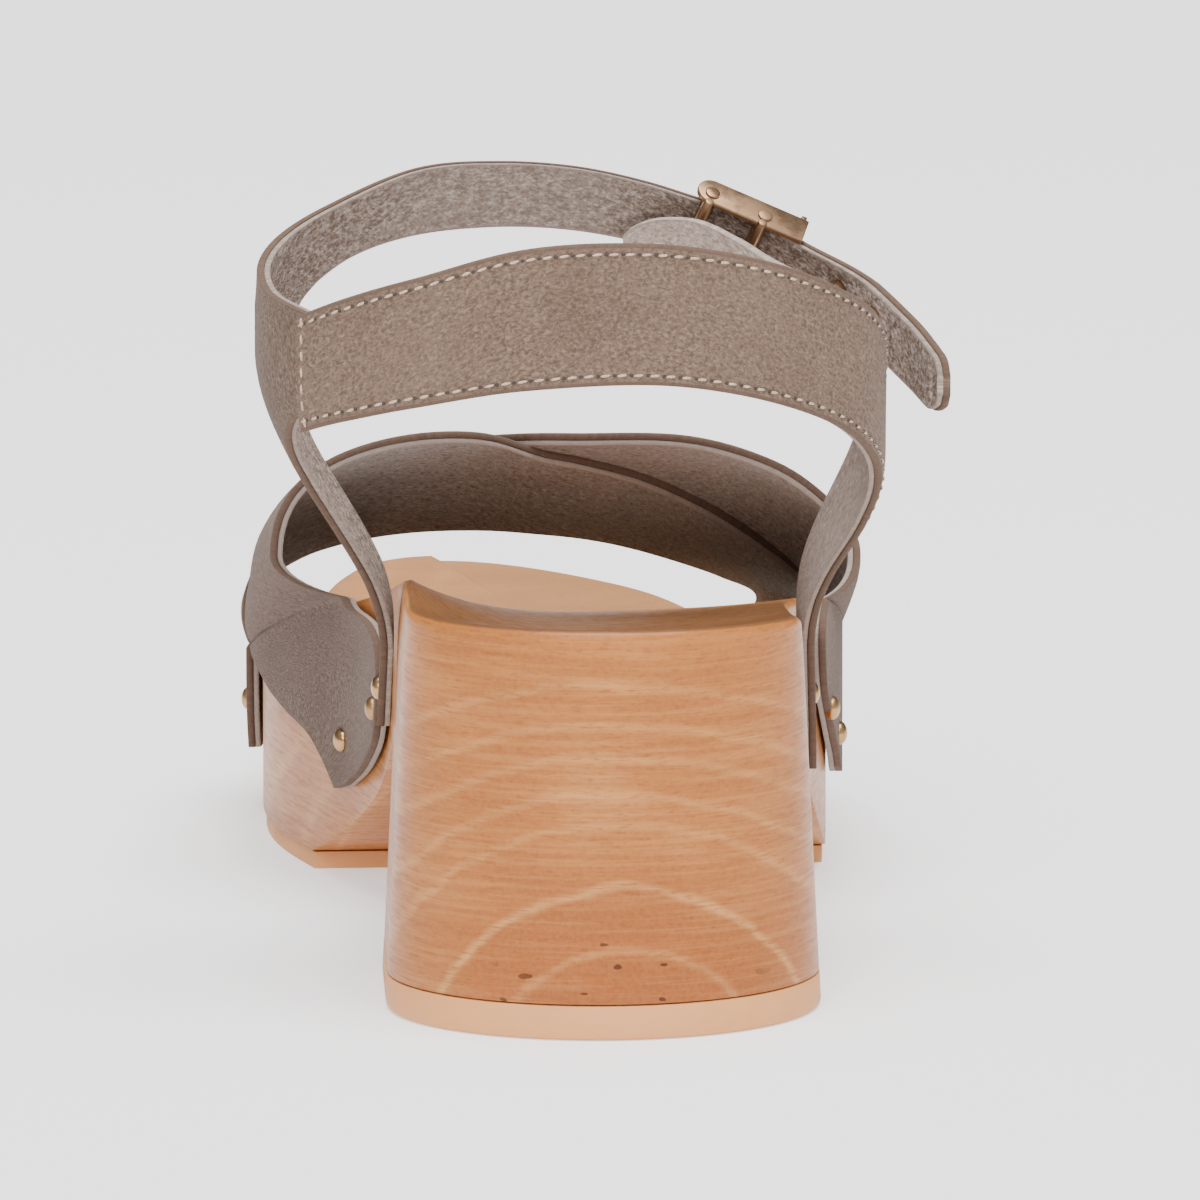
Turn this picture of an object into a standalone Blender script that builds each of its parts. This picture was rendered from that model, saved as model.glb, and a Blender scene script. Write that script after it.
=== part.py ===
"""Wooden sole sandal, right shoe, with crossed front straps and a buckled ankle strap.

Metres, +Z up, +Y towards the toe, +X towards the outer side of the foot.
The origin is the middle of the heel tip's floor face.
"""
from collections import namedtuple
from math import asin, cos, pi, radians, sin, sqrt

import bmesh
import bpy
from mathutils import Matrix, Vector

# Driving sizes of the wooden sole
SOLE_LENGTH = 0.252
BALL_WIDTH = 0.0985
HEEL_HEIGHT = 0.070
FOREFOOT_HEIGHT = 0.0295
HEEL_BEHIND = 0.030
HEEL_DEPTH = 0.057
HEEL_FLARE = 0.0034
HEEL_ROUND = 0.027
TOE_ROUND = 0.045
TOE_SPRING = 0.011
ARCH_HEIGHT = 0.037
BREAST_ROUND = 0.012
TREAD_START = 0.114
TREAD_END = 0.172
RIM_ROUND = 0.0018
HEEL_TIP_THICKNESS = 0.006
OUTSOLE_THICKNESS = 0.003
OUTSOLE_INSET = 0.0006

# Driving sizes of the straps
STRAP_THICKNESS = 0.0023
INSTEP_HEIGHT = 0.0805
WALL_DROP = 0.045
SEAT_OF_BULGE = 0.3
BULGE_SHARE = 0.12
INSTEP_TILT = 0.07
SQUARENESS = 0.78
ANKLE_WIDTH = 0.1025
ANKLE_DEPTH = 0.0775
ANKLE_MIDDLE_X = -0.0047
ANKLE_MIDDLE_Y = 0.007
ANKLE_LEAN = 0.7
ANKLE_HEIGHT = 0.137
FLARE_START = 0.055
FLARE_END_INNER = 0.112
FLARE_END_OUTER = 0.094

# Colours that several pieces share, each in a material of its own
SUEDE_COLOUR = (0.32, 0.24, 0.19)
BRASS_COLOUR = (0.55, 0.38, 0.22)

# Clearances between neighbours, the second for pieces that curve along each other
GAP = 0.0003
CURVED_GAP = 0.0007

# Round nails with domed heads
NAIL_WIDTH = 0.0042
NAIL_HEIGHT = 0.0014

# Box buckle. Its play is between the cheeks and the strap's edges, its shift is
# towards the foot, and its middle bar stands ahead of its middle
BUCKLE_LENGTH = 0.0200
BUCKLE_PLAY = 0.0014
BUCKLE_DEPTH = 0.0054
BUCKLE_METAL = 0.001
BUCKLE_SHIFT = -0.0006
BUCKLE_MIDDLE = 0.0025
AXLE_WIDTH = 0.0016
PRONG_WIDTH = 0.0013
PRONG_STEP = 0.0014

# Eyelets of the free end
EYELET_HOLE = 0.0028
EYELET_WALL = 0.0004
EYELET_FLANGE = 0.0012
EYELET_LIP = 0.0005

# Sections of the sole and of the foot, from heel to toe. along is a share of
# the sole length, middle and half are shares of the ball width, centre, inner
# and outer are shares of the rise from forefoot to heel, instep is a share of
# the instep height, foot_in and foot_out are the foot's reach to its inner and
# outer side as shares of the ball width
Section = namedtuple("Section", "along middle half centre inner outer instep foot_in foot_out")
SECTIONS = (
    Section(0.00, 0.000, 0.343, 0.960, 1.000, 1.000, 1.150, 0.440, 0.440),
    Section(0.08, 0.000, 0.343, 0.890, 0.990, 0.955, 1.150, 0.440, 0.440),
    Section(0.20, 0.007, 0.342, 0.790, 0.965, 0.835, 1.150, 0.450, 0.450),
    Section(0.32, 0.018, 0.343, 0.690, 0.845, 0.730, 1.110, 0.475, 0.465),
    Section(0.44, 0.035, 0.384, 0.556, 0.650, 0.600, 1.020, 0.500, 0.485),
    Section(0.56, 0.013, 0.454, 0.350, 0.420, 0.400, 0.870, 0.530, 0.505),
    Section(0.64, -0.008, 0.489, 0.160, 0.240, 0.220, 0.735, 0.530, 0.500),
    Section(0.71, -0.022, 0.495, 0.050, 0.090, 0.080, 0.630, 0.528, 0.490),
    Section(0.79, -0.038, 0.465, 0.002, 0.030, 0.010, 0.550, 0.515, 0.445),
    Section(0.89, -0.048, 0.395, 0.030, 0.045, -0.010, 0.500, 0.430, 0.340),
    Section(0.95, -0.080, 0.395, 0.100, 0.105, 0.050, 0.480, 0.380, 0.260),
    Section(1.00, -0.160, 0.380, 0.150, 0.150, 0.130, 0.480, 0.350, 0.200),
)

# Crossed front straps. across runs 0 to 1 over the foot from the nailed rear
# end, and past that down the side of the sole. rear and front are the edges
# as shares of the sole length, lift is in strap thicknesses
Crossing = namedtuple("Crossing", "across rear front lift")
UNDER_STRAP = (
    Crossing(-0.74, 0.478, 0.498, 0.00),
    Crossing(-0.68, 0.424, 0.508, 0.00),
    Crossing(-0.60, 0.372, 0.522, 0.00),
    Crossing(-0.49, 0.353, 0.546, 0.00),
    Crossing(-0.38, 0.350, 0.585, 0.00),
    Crossing(-0.26, 0.366, 0.622, 0.00),
    Crossing(-0.14, 0.415, 0.655, 0.00),
    Crossing(-0.04, 0.470, 0.685, 0.00),
    Crossing(0.08, 0.478, 0.705, 0.00),
    Crossing(0.20, 0.463, 0.708, 0.00),
    Crossing(0.32, 0.457, 0.700, 0.00),
    Crossing(0.44, 0.463, 0.682, 0.00),
    Crossing(0.50, 0.527, 0.684, 0.00),
    Crossing(0.56, 0.571, 0.706, 0.00),
    Crossing(0.64, 0.626, 0.755, 0.00),
    Crossing(0.70, 0.664, 0.795, 0.00),
    Crossing(0.78, 0.706, 0.828, 0.00),
    Crossing(0.90, 0.742, 0.850, 0.00),
    Crossing(1.00, 0.757, 0.858, 0.00),
    Crossing(1.20, 0.757, 0.856, 0.00),
    Crossing(1.38, 0.775, 0.835, 0.00),
)
OVER_STRAP = (
    Crossing(-0.62, 0.560, 0.586, 0.00),
    Crossing(-0.51, 0.500, 0.612, 0.00),
    Crossing(-0.36, 0.443, 0.640, 0.00),
    Crossing(-0.20, 0.427, 0.668, 0.00),
    Crossing(-0.08, 0.435, 0.695, 0.00),
    Crossing(0.02, 0.470, 0.722, 0.00),
    Crossing(0.12, 0.510, 0.745, 0.00),
    Crossing(0.20, 0.530, 0.752, 0.30),
    Crossing(0.27, 0.516, 0.742, 0.70),
    Crossing(0.34, 0.488, 0.728, 0.96),
    Crossing(0.42, 0.474, 0.712, 0.96),
    Crossing(0.50, 0.503, 0.695, 0.96),
    Crossing(0.57, 0.535, 0.700, 0.96),
    Crossing(0.65, 0.590, 0.730, 0.90),
    Crossing(0.74, 0.655, 0.770, 0.60),
    Crossing(0.84, 0.710, 0.812, 0.30),
    Crossing(0.94, 0.742, 0.846, 0.00),
    Crossing(1.00, 0.752, 0.856, 0.00),
    Crossing(1.24, 0.755, 0.856, 0.00),
    Crossing(1.43, 0.775, 0.835, 0.00),
)

# Pieces round the ankle. turn is in degrees from the back of the heel, plus
# towards the outer side, height is a share of the ankle height, lift is in
# strap thicknesses. a is the upper or front edge and b the lower or rear edge
Station = namedtuple("Station", "turn_a height_a turn_b height_b lift")
HEEL_BAND = (
    Station(-59, 0.892, -59, 0.746, 1.30),
    Station(-46, 0.924, -46, 0.770, 1.40),
    Station(-32, 0.955, -32, 0.793, 1.20),
    Station(-12, 0.993, -12, 0.816, 0.0),
    Station(10, 1.000, 10, 0.823, 0.0),
    Station(31, 0.977, 31, 0.801, 0.0),
    Station(54, 0.926, 54, 0.752, 0.0),
    Station(75, 0.868, 72, 0.694, 0.0),
    Station(95, 0.793, 84, 0.635, 0.0),
    Station(110, 0.701, 94, 0.577, 0.0),
    Station(121, 0.592, 104, 0.518, 0.0),
    Station(130, 0.482, 113, 0.453, 0.0),
    Station(136, 0.380, 119, 0.372, 0.0),
    Station(141, 0.240, 127, 0.240, 0.0),
)
ANKLE_STRAP = (
    Station(-138, 0.310, -122, 0.310, 0.0),
    Station(-139, 0.390, -119, 0.390, 0.0),
    Station(-134, 0.480, -112, 0.467, 0.0),
    Station(-125, 0.570, -100, 0.560, 0.0),
    Station(-118, 0.670, -90, 0.655, 0.0),
    Station(-119, 0.750, -68, 0.752, 0.0),
    Station(-121, 0.800, -50, 0.792, 0.0),
    Station(-122, 0.828, -54, 0.880, 0.0),
    Station(-124, 0.848, -80, 0.905, 0.0),
    Station(-129, 0.866, -103, 0.936, 0.0),
    Station(-138, 0.896, -125, 0.972, 0.0),
    Station(-151, 0.915, -146, 1.012, 0.0),
    Station(-168, 0.921, -166, 1.016, 0.0),
    Station(-183, 0.913, -183, 1.007, 0.0),
    Station(-198, 0.892, -198, 0.986, 0.2),
    Station(-208, 0.870, -208, 0.964, 0.7),
    Station(-219, 0.846, -219, 0.940, 1.25),
    Station(-230, 0.822, -230, 0.905, 1.25),
    Station(-242, 0.795, -242, 0.880, 1.45),
    Station(-254, 0.762, -254, 0.848, 2.35),
    Station(-264, 0.741, -264, 0.825, 3.4),
    Station(-269, 0.734, -269, 0.814, 4.1),
    Station(-272, 0.740, -273, 0.803, 4.6),
    Station(-274, 0.755, -274, 0.787, 4.8),
)
BUCKLE_STRAP = (
    Station(52, 0.860, 52, 0.782, -1.30),
    Station(70, 0.848, 70, 0.770, -1.30),
    Station(90, 0.842, 90, 0.762, -1.30),
    Station(110, 0.855, 110, 0.772, -1.50),
    Station(131, 0.889, 131, 0.806, -2.20),
    Station(140, 0.918, 140, 0.830, -2.50),
    Station(149, 0.942, 149, 0.852, -2.50),
    Station(158, 0.943, 158, 0.866, -2.40),
    Station(164, 0.931, 164, 0.878, -2.30),
    Station(167, 0.915, 167, 0.894, -2.30),
)
EYELET_STATIONS = (17.5, 18.35)
# The buckle stands at this station, tilted down at its free end and set this far
# below the middle of the strap
BUCKLE_STATION = 15.50
BUCKLE_TILT = radians(8)
BUCKLE_DROP = 0.0010

# Nails. side is -1 inner and 1 outer, along is a share of the sole length and
# drop is how far below the rim, as a share of WALL_DROP
Nail = namedtuple("Nail", "side along drop")
NAILS = (
    Nail(-1, 0.368, 0.489),
    Nail(-1, 0.481, 0.561),
    Nail(1, 0.476, 0.425),
    Nail(1, 0.536, 0.500),
    Nail(-1, 0.785, 0.239),
    Nail(-1, 0.828, 0.235),
    Nail(1, 0.785, 0.222),
    Nail(1, 0.828, 0.206),
    Nail(-1, 0.266, 0.416),
    Nail(1, 0.280, 0.343),
)


def smooth(places, values, at):
    """Cubic curve through the values, level with the first and last ones past the ends"""
    last = len(places) - 1
    if at <= places[0]:
        return values[0]
    if at >= places[last]:
        return values[last]
    k = max(i for i in range(last) if places[i] <= at)

    def slope(i):
        before, after = max(i - 1, 0), min(i + 1, last)
        return (values[after] - values[before]) / (places[after] - places[before])

    span = places[k + 1] - places[k]
    t = (at - places[k]) / span
    return ((2 * t**3 - 3 * t**2 + 1) * values[k] + (t**3 - 2 * t**2 + t) * span * slope(k)
            + (3 * t**2 - 2 * t**3) * values[k + 1] + (t**3 - t**2) * span * slope(k + 1))


def sole(name, y):
    """A column of the section table at y"""
    along = (y + HEEL_BEHIND) / SOLE_LENGTH
    return smooth([row.along for row in SECTIONS], [getattr(row, name) for row in SECTIONS], along)


def at_share(along):
    return along * SOLE_LENGTH - HEEL_BEHIND


def middle(y):
    return sole("middle", y) * BALL_WIDTH


def half_width(y):
    """Half the width of the sole, closed by the rounds of heel and toe"""
    behind = min(max(y + HEEL_BEHIND, 0), HEEL_ROUND) / HEEL_ROUND
    ahead = min(max(SOLE_LENGTH - HEEL_BEHIND - y, 0), TOE_ROUND) / TOE_ROUND
    rounds = sqrt(1 - (1 - behind) ** 2) * sqrt(1 - (1 - ahead) ** 2)
    return sole("half", y) * BALL_WIDTH * rounds


def level(name, y):
    return FOREFOOT_HEIGHT + sole(name, y) * (HEEL_HEIGHT - FOREFOOT_HEIGHT)


def rim(y, side):
    """Height of the rim, side -1 at the inner edge to 1 at the outer edge"""
    return level("inner", y) * (1 - side) / 2 + level("outer", y) * (1 + side) / 2


def footbed(side, y):
    """Height of the dished top"""
    edge = level("inner", y) if side < 0 else level("outer", y)
    return level("centre", y) + (edge - level("centre", y)) * abs(side) ** 2.5


def flare(y, z):
    """How far the heel's side stands out of the plan outline"""
    fade = 1 - min(max((y - HEEL_DEPTH + HEEL_BEHIND) / HEEL_DEPTH, 0), 1)
    return HEEL_FLARE * fade * max(0, 1 - z / HEEL_HEIGHT)


def bend(value):
    """Squares off a round section"""
    return abs(value) ** SQUARENESS * (1 if value > 0 else -1)


def over_foot(across, y, lift):
    """Point on the foot under the front straps, across 0 at the inner rim to 1 at the outer"""
    side = -1 if across < 0.5 else 1
    edge = half_width(y) + CURVED_GAP
    if across < 0 or across > 1:
        down = -across if across < 0 else across - 1
        z = rim(y, side) - down * WALL_DROP
        return Vector((middle(y) + side * (edge + flare(y, z) + lift), y, z))
    top = sole("instep", y) * INSTEP_HEIGHT
    foot_in, foot_out = -sole("foot_in", y) * BALL_WIDTH, sole("foot_out", y) * BALL_WIDTH
    if across < BULGE_SHARE or across > 1 - BULGE_SHARE:
        t = min(across, 1 - across) / BULGE_SHARE
        turn = radians(90) * t
        start, end = middle(y) + side * edge, foot_in if side < 0 else foot_out
        seat = SEAT_OF_BULGE * (top - rim(y, side))
        x = start + (end - start) * sin(turn) + side * lift * sin(turn / 2 + radians(45))
        return Vector((x, y, rim(y, side) + seat * (t + 1 - cos(turn)) / 2))
    turn = pi * (across - BULGE_SHARE) / (1 - 2 * BULGE_SHARE)
    side, rise = -bend(cos(turn)), bend(sin(turn))
    low = rim(y, side) + SEAT_OF_BULGE * (top - rim(y, side))
    x = (foot_in + foot_out) / 2 + side * (foot_out - foot_in) / 2
    z = low + (top - low) * rise - INSTEP_TILT * x * rise + sin(turn) * lift
    return Vector((x - cos(turn) * lift, y, z))


def edge_towards(turn, z):
    """Side of the sole seen from the middle of the ankle"""
    near, far = 0.0, SOLE_LENGTH / 2
    for _ in range(40):
        reach = (near + far) / 2
        x, y = reach * sin(turn), ANKLE_MIDDLE_Y - reach * cos(turn)
        inside = y > -HEEL_BEHIND and abs(x - middle(y)) < half_width(y) + flare(y, z) + CURVED_GAP
        if inside:
            near = reach
        else:
            far = reach
    return Vector((near * sin(turn), ANKLE_MIDDLE_Y - near * cos(turn), z))


def ankle_form(turn, z):
    """Flared shape from the sole's side up to the ring round the ankle"""
    flare_end = (FLARE_END_INNER + FLARE_END_OUTER) / 2
    flare_end -= sin(turn) * (FLARE_END_INNER - FLARE_END_OUTER) / 2
    t = min(max((z - FLARE_START) / (flare_end - FLARE_START), 0), 1)
    blend = t * t * (3 - 2 * t)
    lean = ANKLE_LEAN * max(0, -cos(turn)) * (max(z, ANKLE_HEIGHT * 0.87) - ANKLE_HEIGHT * 0.92)
    ring = Vector((ANKLE_MIDDLE_X + (ANKLE_WIDTH / 2 - lean) * sin(turn),
                   ANKLE_MIDDLE_Y - (ANKLE_DEPTH / 2 - lean) * cos(turn), z))
    return edge_towards(turn, z).lerp(ring, blend)


def round_ankle(degrees, z, lift):
    """Point lifted off the ankle's form, square to it in plan"""
    turn, little = radians(degrees), 0.02
    along = ankle_form(turn + little, z) - ankle_form(turn - little, z)
    outwards = Vector((along.y, -along.x, 0)).normalized()
    return ankle_form(turn, z) + outwards * lift


def material(name, colour, roughness, metallic=0.0):
    made = bpy.data.materials.new(name)
    made.use_nodes = True
    shader = made.node_tree.nodes["Principled BSDF"]
    shader.inputs["Base Color"].default_value = (*colour, 1)
    shader.inputs["Roughness"].default_value = roughness
    shader.inputs["Metallic"].default_value = metallic
    return made


def suede(name):
    return material(name, SUEDE_COLOUR, 0.9)


def brass(name):
    return material(name, BRASS_COLOUR, 0.3, 1.0)


def add_mesh(name, mesh, collection, finish=None):
    piece = bpy.data.objects.new(name, mesh)
    collection.objects.link(piece)
    if finish:
        mesh.materials.append(finish)
    return piece


def finish_mesh(work, name):
    """Turn a bmesh into a mesh with its faces pointing out"""
    bmesh.ops.remove_doubles(work, verts=work.verts, dist=0.00001)
    bmesh.ops.recalc_face_normals(work, faces=work.faces)
    bmesh.ops.triangulate(work, faces=[face for face in work.faces if len(face.verts) > 4])
    mesh = bpy.data.meshes.new(name)
    work.to_mesh(mesh)
    work.free()
    return mesh


def modify(piece, kind, **settings):
    modifier = piece.modifiers.new(kind.title(), kind)
    for key, value in settings.items():
        setattr(modifier, key, value)
    return modifier


def apply_modifiers(piece):
    """Replace the piece's mesh by its evaluated one"""
    graph = bpy.context.evaluated_depsgraph_get()
    mesh = bpy.data.meshes.new_from_object(piece.evaluated_get(graph))
    piece.modifiers.clear()
    piece.data = mesh


def cut(piece, cutter, operation="DIFFERENCE"):
    modify(piece, "BOOLEAN", object=cutter, operation=operation, solver="EXACT")
    bpy.context.view_layer.update()
    apply_modifiers(piece)


def plan_ring(steps, grow):
    """Plan outline as (x, y, side) going round from the heel, moved out by grow(y)"""
    ring = []
    for k in range(2 * steps):
        inner = k < steps
        share = (1 - cos(pi * k / steps)) / 2
        y = at_share(share)
        side = -1 if inner else 1
        ring.append((middle(y) + side * half_width(y), y, side))
    moved = []
    for k, (x, y, side) in enumerate(ring):
        before, after = ring[k - 1], ring[(k + 1) % len(ring)]
        away = Vector((before[1] - after[1], after[0] - before[0])).normalized()
        moved.append((x + away.x * grow(y), y + away.y * grow(y), side))
    return moved


def sole_blank(name, collection, inset=0.0):
    """The sole's outline with flared heel and dished top, before it is cut underneath"""
    steps = 36
    work = bmesh.new()
    rings = []

    def add_ring(points):
        rings.append([work.verts.new(point) for point in points])

    for share in (0.0, 0.3, 0.6, 0.85):
        add_ring([(x, y, share * (rim(y, side) - RIM_ROUND)) for x, y, side in
                  plan_ring(steps, lambda y: flare(y, share * rim(y, 0)) - inset)])
    for turn in (0, 30, 60, 90):
        inwards = RIM_ROUND * (1 - cos(radians(turn)))
        drop = RIM_ROUND * (1 - sin(radians(turn)))
        add_ring([(x, y, rim(y, side) - drop) for x, y, side in
                  plan_ring(steps, lambda y: -inwards - inset)])
    edge = plan_ring(steps, lambda y: -RIM_ROUND - inset)
    spine_start, spine_end = 0.1, 0.9
    for share in (0.85, 0.68, 0.45, 0.22, 0.0):
        points = []
        for k, (x, y, side) in enumerate(edge):
            spine_y = at_share(spine_start + (spine_end - spine_start) * (1 - cos(pi * k / steps)) / 2)
            inner_y = spine_y + (y - spine_y) * share
            inner_x = middle(spine_y) + (x - middle(spine_y)) * share
            points.append((inner_x, inner_y, footbed(side * share, inner_y)))
        add_ring(points)
    for low, high in zip(rings, rings[1:]):
        for k in range(len(low)):
            n = (k + 1) % len(low)
            work.faces.new((low[k], low[n], high[n], high[k]))
    work.faces.new(rings[0])
    bmesh.ops.remove_doubles(work, verts=work.verts, dist=0.00001)
    bmesh.ops.triangulate(work, faces=work.faces)
    bmesh.ops.dissolve_degenerate(work, edges=work.edges, dist=0.00001)
    return add_mesh(name, finish_mesh(work, name), collection)


def side_profile(name, profile, collection):
    """A side outline as a solid across the whole sole"""
    work = bmesh.new()
    left = [work.verts.new((-BALL_WIDTH, y, z)) for y, z in profile]
    face = work.faces.new(left)
    pushed = bmesh.ops.extrude_face_region(work, geom=[face])
    moved = [item for item in pushed["geom"] if isinstance(item, bmesh.types.BMVert)]
    bmesh.ops.translate(work, verts=moved, vec=(2 * BALL_WIDTH, 0, 0))
    piece = add_mesh(name, finish_mesh(work, name), collection)
    piece.hide_render = True
    piece.display_type = "WIRE"
    return piece


def underside(offset):
    """Side curve of the sole's underside from heel to toe, offset above the floor"""
    breast = HEEL_DEPTH - HEEL_BEHIND
    corner = BREAST_ROUND
    points = [(breast, offset), (breast - corner * 0.15, ARCH_HEIGHT - corner)]
    for turn in range(20, 91, 14):
        angle = radians(turn)
        points.append((breast + corner * (1 - cos(angle)), ARCH_HEIGHT - corner * (1 - sin(angle))))
    arch_end = breast + corner * 1.6
    for step in range(1, 9):
        t = step / 8
        fall = t * t * (3 - 2 * t) * 0.35 + t * 0.65
        points.append((arch_end + (TREAD_START - arch_end) * t,
                       offset + (ARCH_HEIGHT - offset) * (1 - fall)))
    toe = SOLE_LENGTH - HEEL_BEHIND + OUTSOLE_THICKNESS
    for step in range(0, 9):
        t = step / 8
        points.append((TREAD_END + (toe - TREAD_END) * t, offset + TOE_SPRING * t**1.8))
    return points


def make_sole(parts, cutters, wood, tip_rubber, sole_rubber):
    toe = SOLE_LENGTH - HEEL_BEHIND + OUTSOLE_THICKNESS
    below = -0.01
    breast = HEEL_DEPTH - HEEL_BEHIND
    behind = -HEEL_BEHIND - HEEL_FLARE * 2

    body = sole_blank("wooden_sole", parts)
    body.data.materials.append(wood)
    under = underside(OUTSOLE_THICKNESS + GAP)
    lifted = [(behind, below), (behind, HEEL_TIP_THICKNESS + GAP)]
    lifted += [(breast, HEEL_TIP_THICKNESS + GAP)] + under[1:] + [(toe, below)]
    cut(body, side_profile("underside_cutter", lifted, cutters))

    tip = sole_blank("heel_tip", parts)
    tip.data.materials.append(tip_rubber)
    block = [(behind, below), (breast, below), (breast, HEEL_TIP_THICKNESS), (behind, HEEL_TIP_THICKNESS)]
    cut(tip, side_profile("heel_tip_block", block, cutters), "INTERSECT")

    tread = sole_blank("forefoot_outsole", parts, OUTSOLE_INSET)
    tread.data.materials.append(sole_rubber)
    lower = [(TREAD_START, 0.0)] + [(y, z) for y, z in underside(0.0) if y >= TREAD_END]
    strip = lower + [(y, z + OUTSOLE_THICKNESS) for y, z in reversed(lower)]
    cut(tread, side_profile("outsole_strip", strip, cutters), "INTERSECT")


def ribbon(name, rows, point, steps, widths, collection, finish):
    """Open surface along a strap, given its wall by Solidify"""
    work = bmesh.new()
    grid = []
    places = list(range(len(rows)))
    for step in range((len(rows) - 1) * steps + 1):
        at = step / steps
        row = [smooth(places, [getattr(entry, field) for entry in rows], at) for field in rows[0]._fields]
        grid.append([work.verts.new(point(row, k / widths)) for k in range(widths + 1)])
    for low, high in zip(grid, grid[1:]):
        for k in range(widths):
            work.faces.new((low[k], low[k + 1], high[k + 1], high[k]))
    mesh = bpy.data.meshes.new(name)
    work.to_mesh(mesh)
    work.free()
    piece = add_mesh(name, mesh, collection, finish)
    modify(piece, "SOLIDIFY", thickness=STRAP_THICKNESS, offset=0.0, use_even_offset=True)
    bpy.context.view_layer.update()
    apply_modifiers(piece)
    work = bmesh.new()
    work.from_mesh(piece.data)
    bmesh.ops.recalc_face_normals(work, faces=work.faces)
    work.to_mesh(piece.data)
    work.free()
    return piece


def front_point(from_inner):
    """Place on a front strap, whose nailed rear end is at the inner or at the outer side"""
    def place(row, share):
        across, rear, front, lift = row
        if not from_inner:
            across = 1 - across
        middle_of_wall = (lift + 0.5) * STRAP_THICKNESS
        return over_foot(across, at_share(rear + (front - rear) * share), middle_of_wall)
    return place


def ankle_point(row, share):
    turn_a, height_a, turn_b, height_b, lift = row
    turn = turn_a + (turn_b - turn_a) * share
    height = (height_a + (height_b - height_a) * share) * ANKLE_HEIGHT
    return round_ankle(turn, height, (lift + 0.5) * STRAP_THICKNESS)


def make_front_straps(parts):
    finish = suede("front_strap_suede")
    under = ribbon("front_straps", UNDER_STRAP, front_point(True), 3, 5, parts, finish)
    over = ribbon("over_strap", OVER_STRAP, front_point(False), 3, 5, parts, finish)
    cut(under, over, "UNION")
    bpy.data.objects.remove(over)


def strap_spot(rows, station, share=0.5):
    """Middle of a strap's wall at a station number, with the way along it and out of it"""

    def place(at, across):
        row = [smooth(range(len(rows)), [getattr(entry, field) for entry in rows], at)
               for field in rows[0]._fields]
        return ankle_point(row, across)

    spot = place(station, share)
    along = (place(station + 0.1, share) - place(station - 0.1, share)).normalized()
    across = (place(station, share + 0.1) - place(station, share - 0.1)).normalized()
    out = along.cross(across).normalized()
    ankle_middle = Vector((ANKLE_MIDDLE_X, ANKLE_MIDDLE_Y, spot.z))
    if out.dot(spot - ankle_middle) < 0:
        out = -out
    return spot, along, out


def facing(spot, out):
    """Matrix that stands a turned part on a spot with its axis out of it"""
    return Matrix.Translation(spot) @ out.to_track_quat("Z", "Y").to_matrix().to_4x4()


def cylinder(name, width, length, matrix, collection, finish=None, sides=16):
    work = bmesh.new()
    bmesh.ops.create_cone(work, cap_ends=True, segments=sides, radius1=width / 2, radius2=width / 2,
                          depth=length, matrix=matrix)
    return add_mesh(name, finish_mesh(work, name), collection, finish)


def turned(name, profile, matrix, collection, finish, sides=16):
    """Closed profile of (radius, height) spun round the axis"""
    work = bmesh.new()
    rings = []
    for radius, height in profile:
        ring = [work.verts.new((radius * cos(2 * pi * k / sides), radius * sin(2 * pi * k / sides), height))
                for k in range(sides)]
        rings.append(ring)
    for low, high in zip(rings, rings[1:] + rings[:1]):
        for k in range(sides):
            n = (k + 1) % sides
            work.faces.new((low[k], low[n], high[n], high[k]))
    bmesh.ops.transform(work, matrix=matrix, verts=work.verts)
    return add_mesh(name, finish_mesh(work, name), collection, finish)


def make_eyelet(name, spot, out, parts):
    bore, wall = EYELET_HOLE / 2, EYELET_WALL
    half = STRAP_THICKNESS / 2 + 2 * GAP
    flange = bore + wall + EYELET_FLANGE
    profile = [(bore, -half - EYELET_LIP), (bore + wall + EYELET_FLANGE / 2, -half - EYELET_LIP),
               (bore + wall + EYELET_FLANGE / 2, -half), (bore + wall, -half), (bore + wall, half),
               (flange, half), (flange - EYELET_LIP / 2, half + EYELET_LIP), (bore, half + EYELET_LIP)]
    turned(name, profile, facing(spot, out), parts, brass(name + "_brass"))


def make_nail(name, spot, out, parts):
    radius = NAIL_WIDTH / 2
    work = bmesh.new()
    bmesh.ops.create_uvsphere(work, u_segments=12, v_segments=8, radius=1)
    lower = [vert for vert in work.verts if vert.co.z < 0]
    for vert in lower:
        vert.co.z = 0
    for vert in work.verts:
        vert.co = Vector((vert.co.x * radius, vert.co.y * radius, vert.co.z * NAIL_HEIGHT))
    bmesh.ops.remove_doubles(work, verts=work.verts, dist=0.00001)
    inner = [vert for vert in work.verts if vert.co.z < 1e-7 and vert.co.xy.length < radius * 0.98]
    bmesh.ops.delete(work, geom=inner, context="VERTS")
    bmesh.ops.holes_fill(work, edges=work.edges)
    bmesh.ops.transform(work, matrix=facing(spot, out), verts=work.verts)
    add_mesh(name, finish_mesh(work, name), parts, brass(name + "_brass"))


def make_nails(parts):
    for number, nail in enumerate(NAILS, 1):
        y = at_share(nail.along)
        z = rim(y, nail.side) - nail.drop * WALL_DROP
        lift = CURVED_GAP + STRAP_THICKNESS + GAP

        def wall(y):
            return Vector((middle(y) + nail.side * (half_width(y) + flare(y, z) + lift), y, z))

        along = (wall(y + NAIL_WIDTH / 2) - wall(y - NAIL_WIDTH / 2)).normalized()
        out = Vector((along.y, -along.x, 0)) * nail.side
        make_nail(f"nail_{number}", wall(y), out, parts)


def curve_away(x):
    """How far the strap's wall bends in from a straight line at x from the buckle's middle"""
    return x * x / ANKLE_WIDTH


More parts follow.
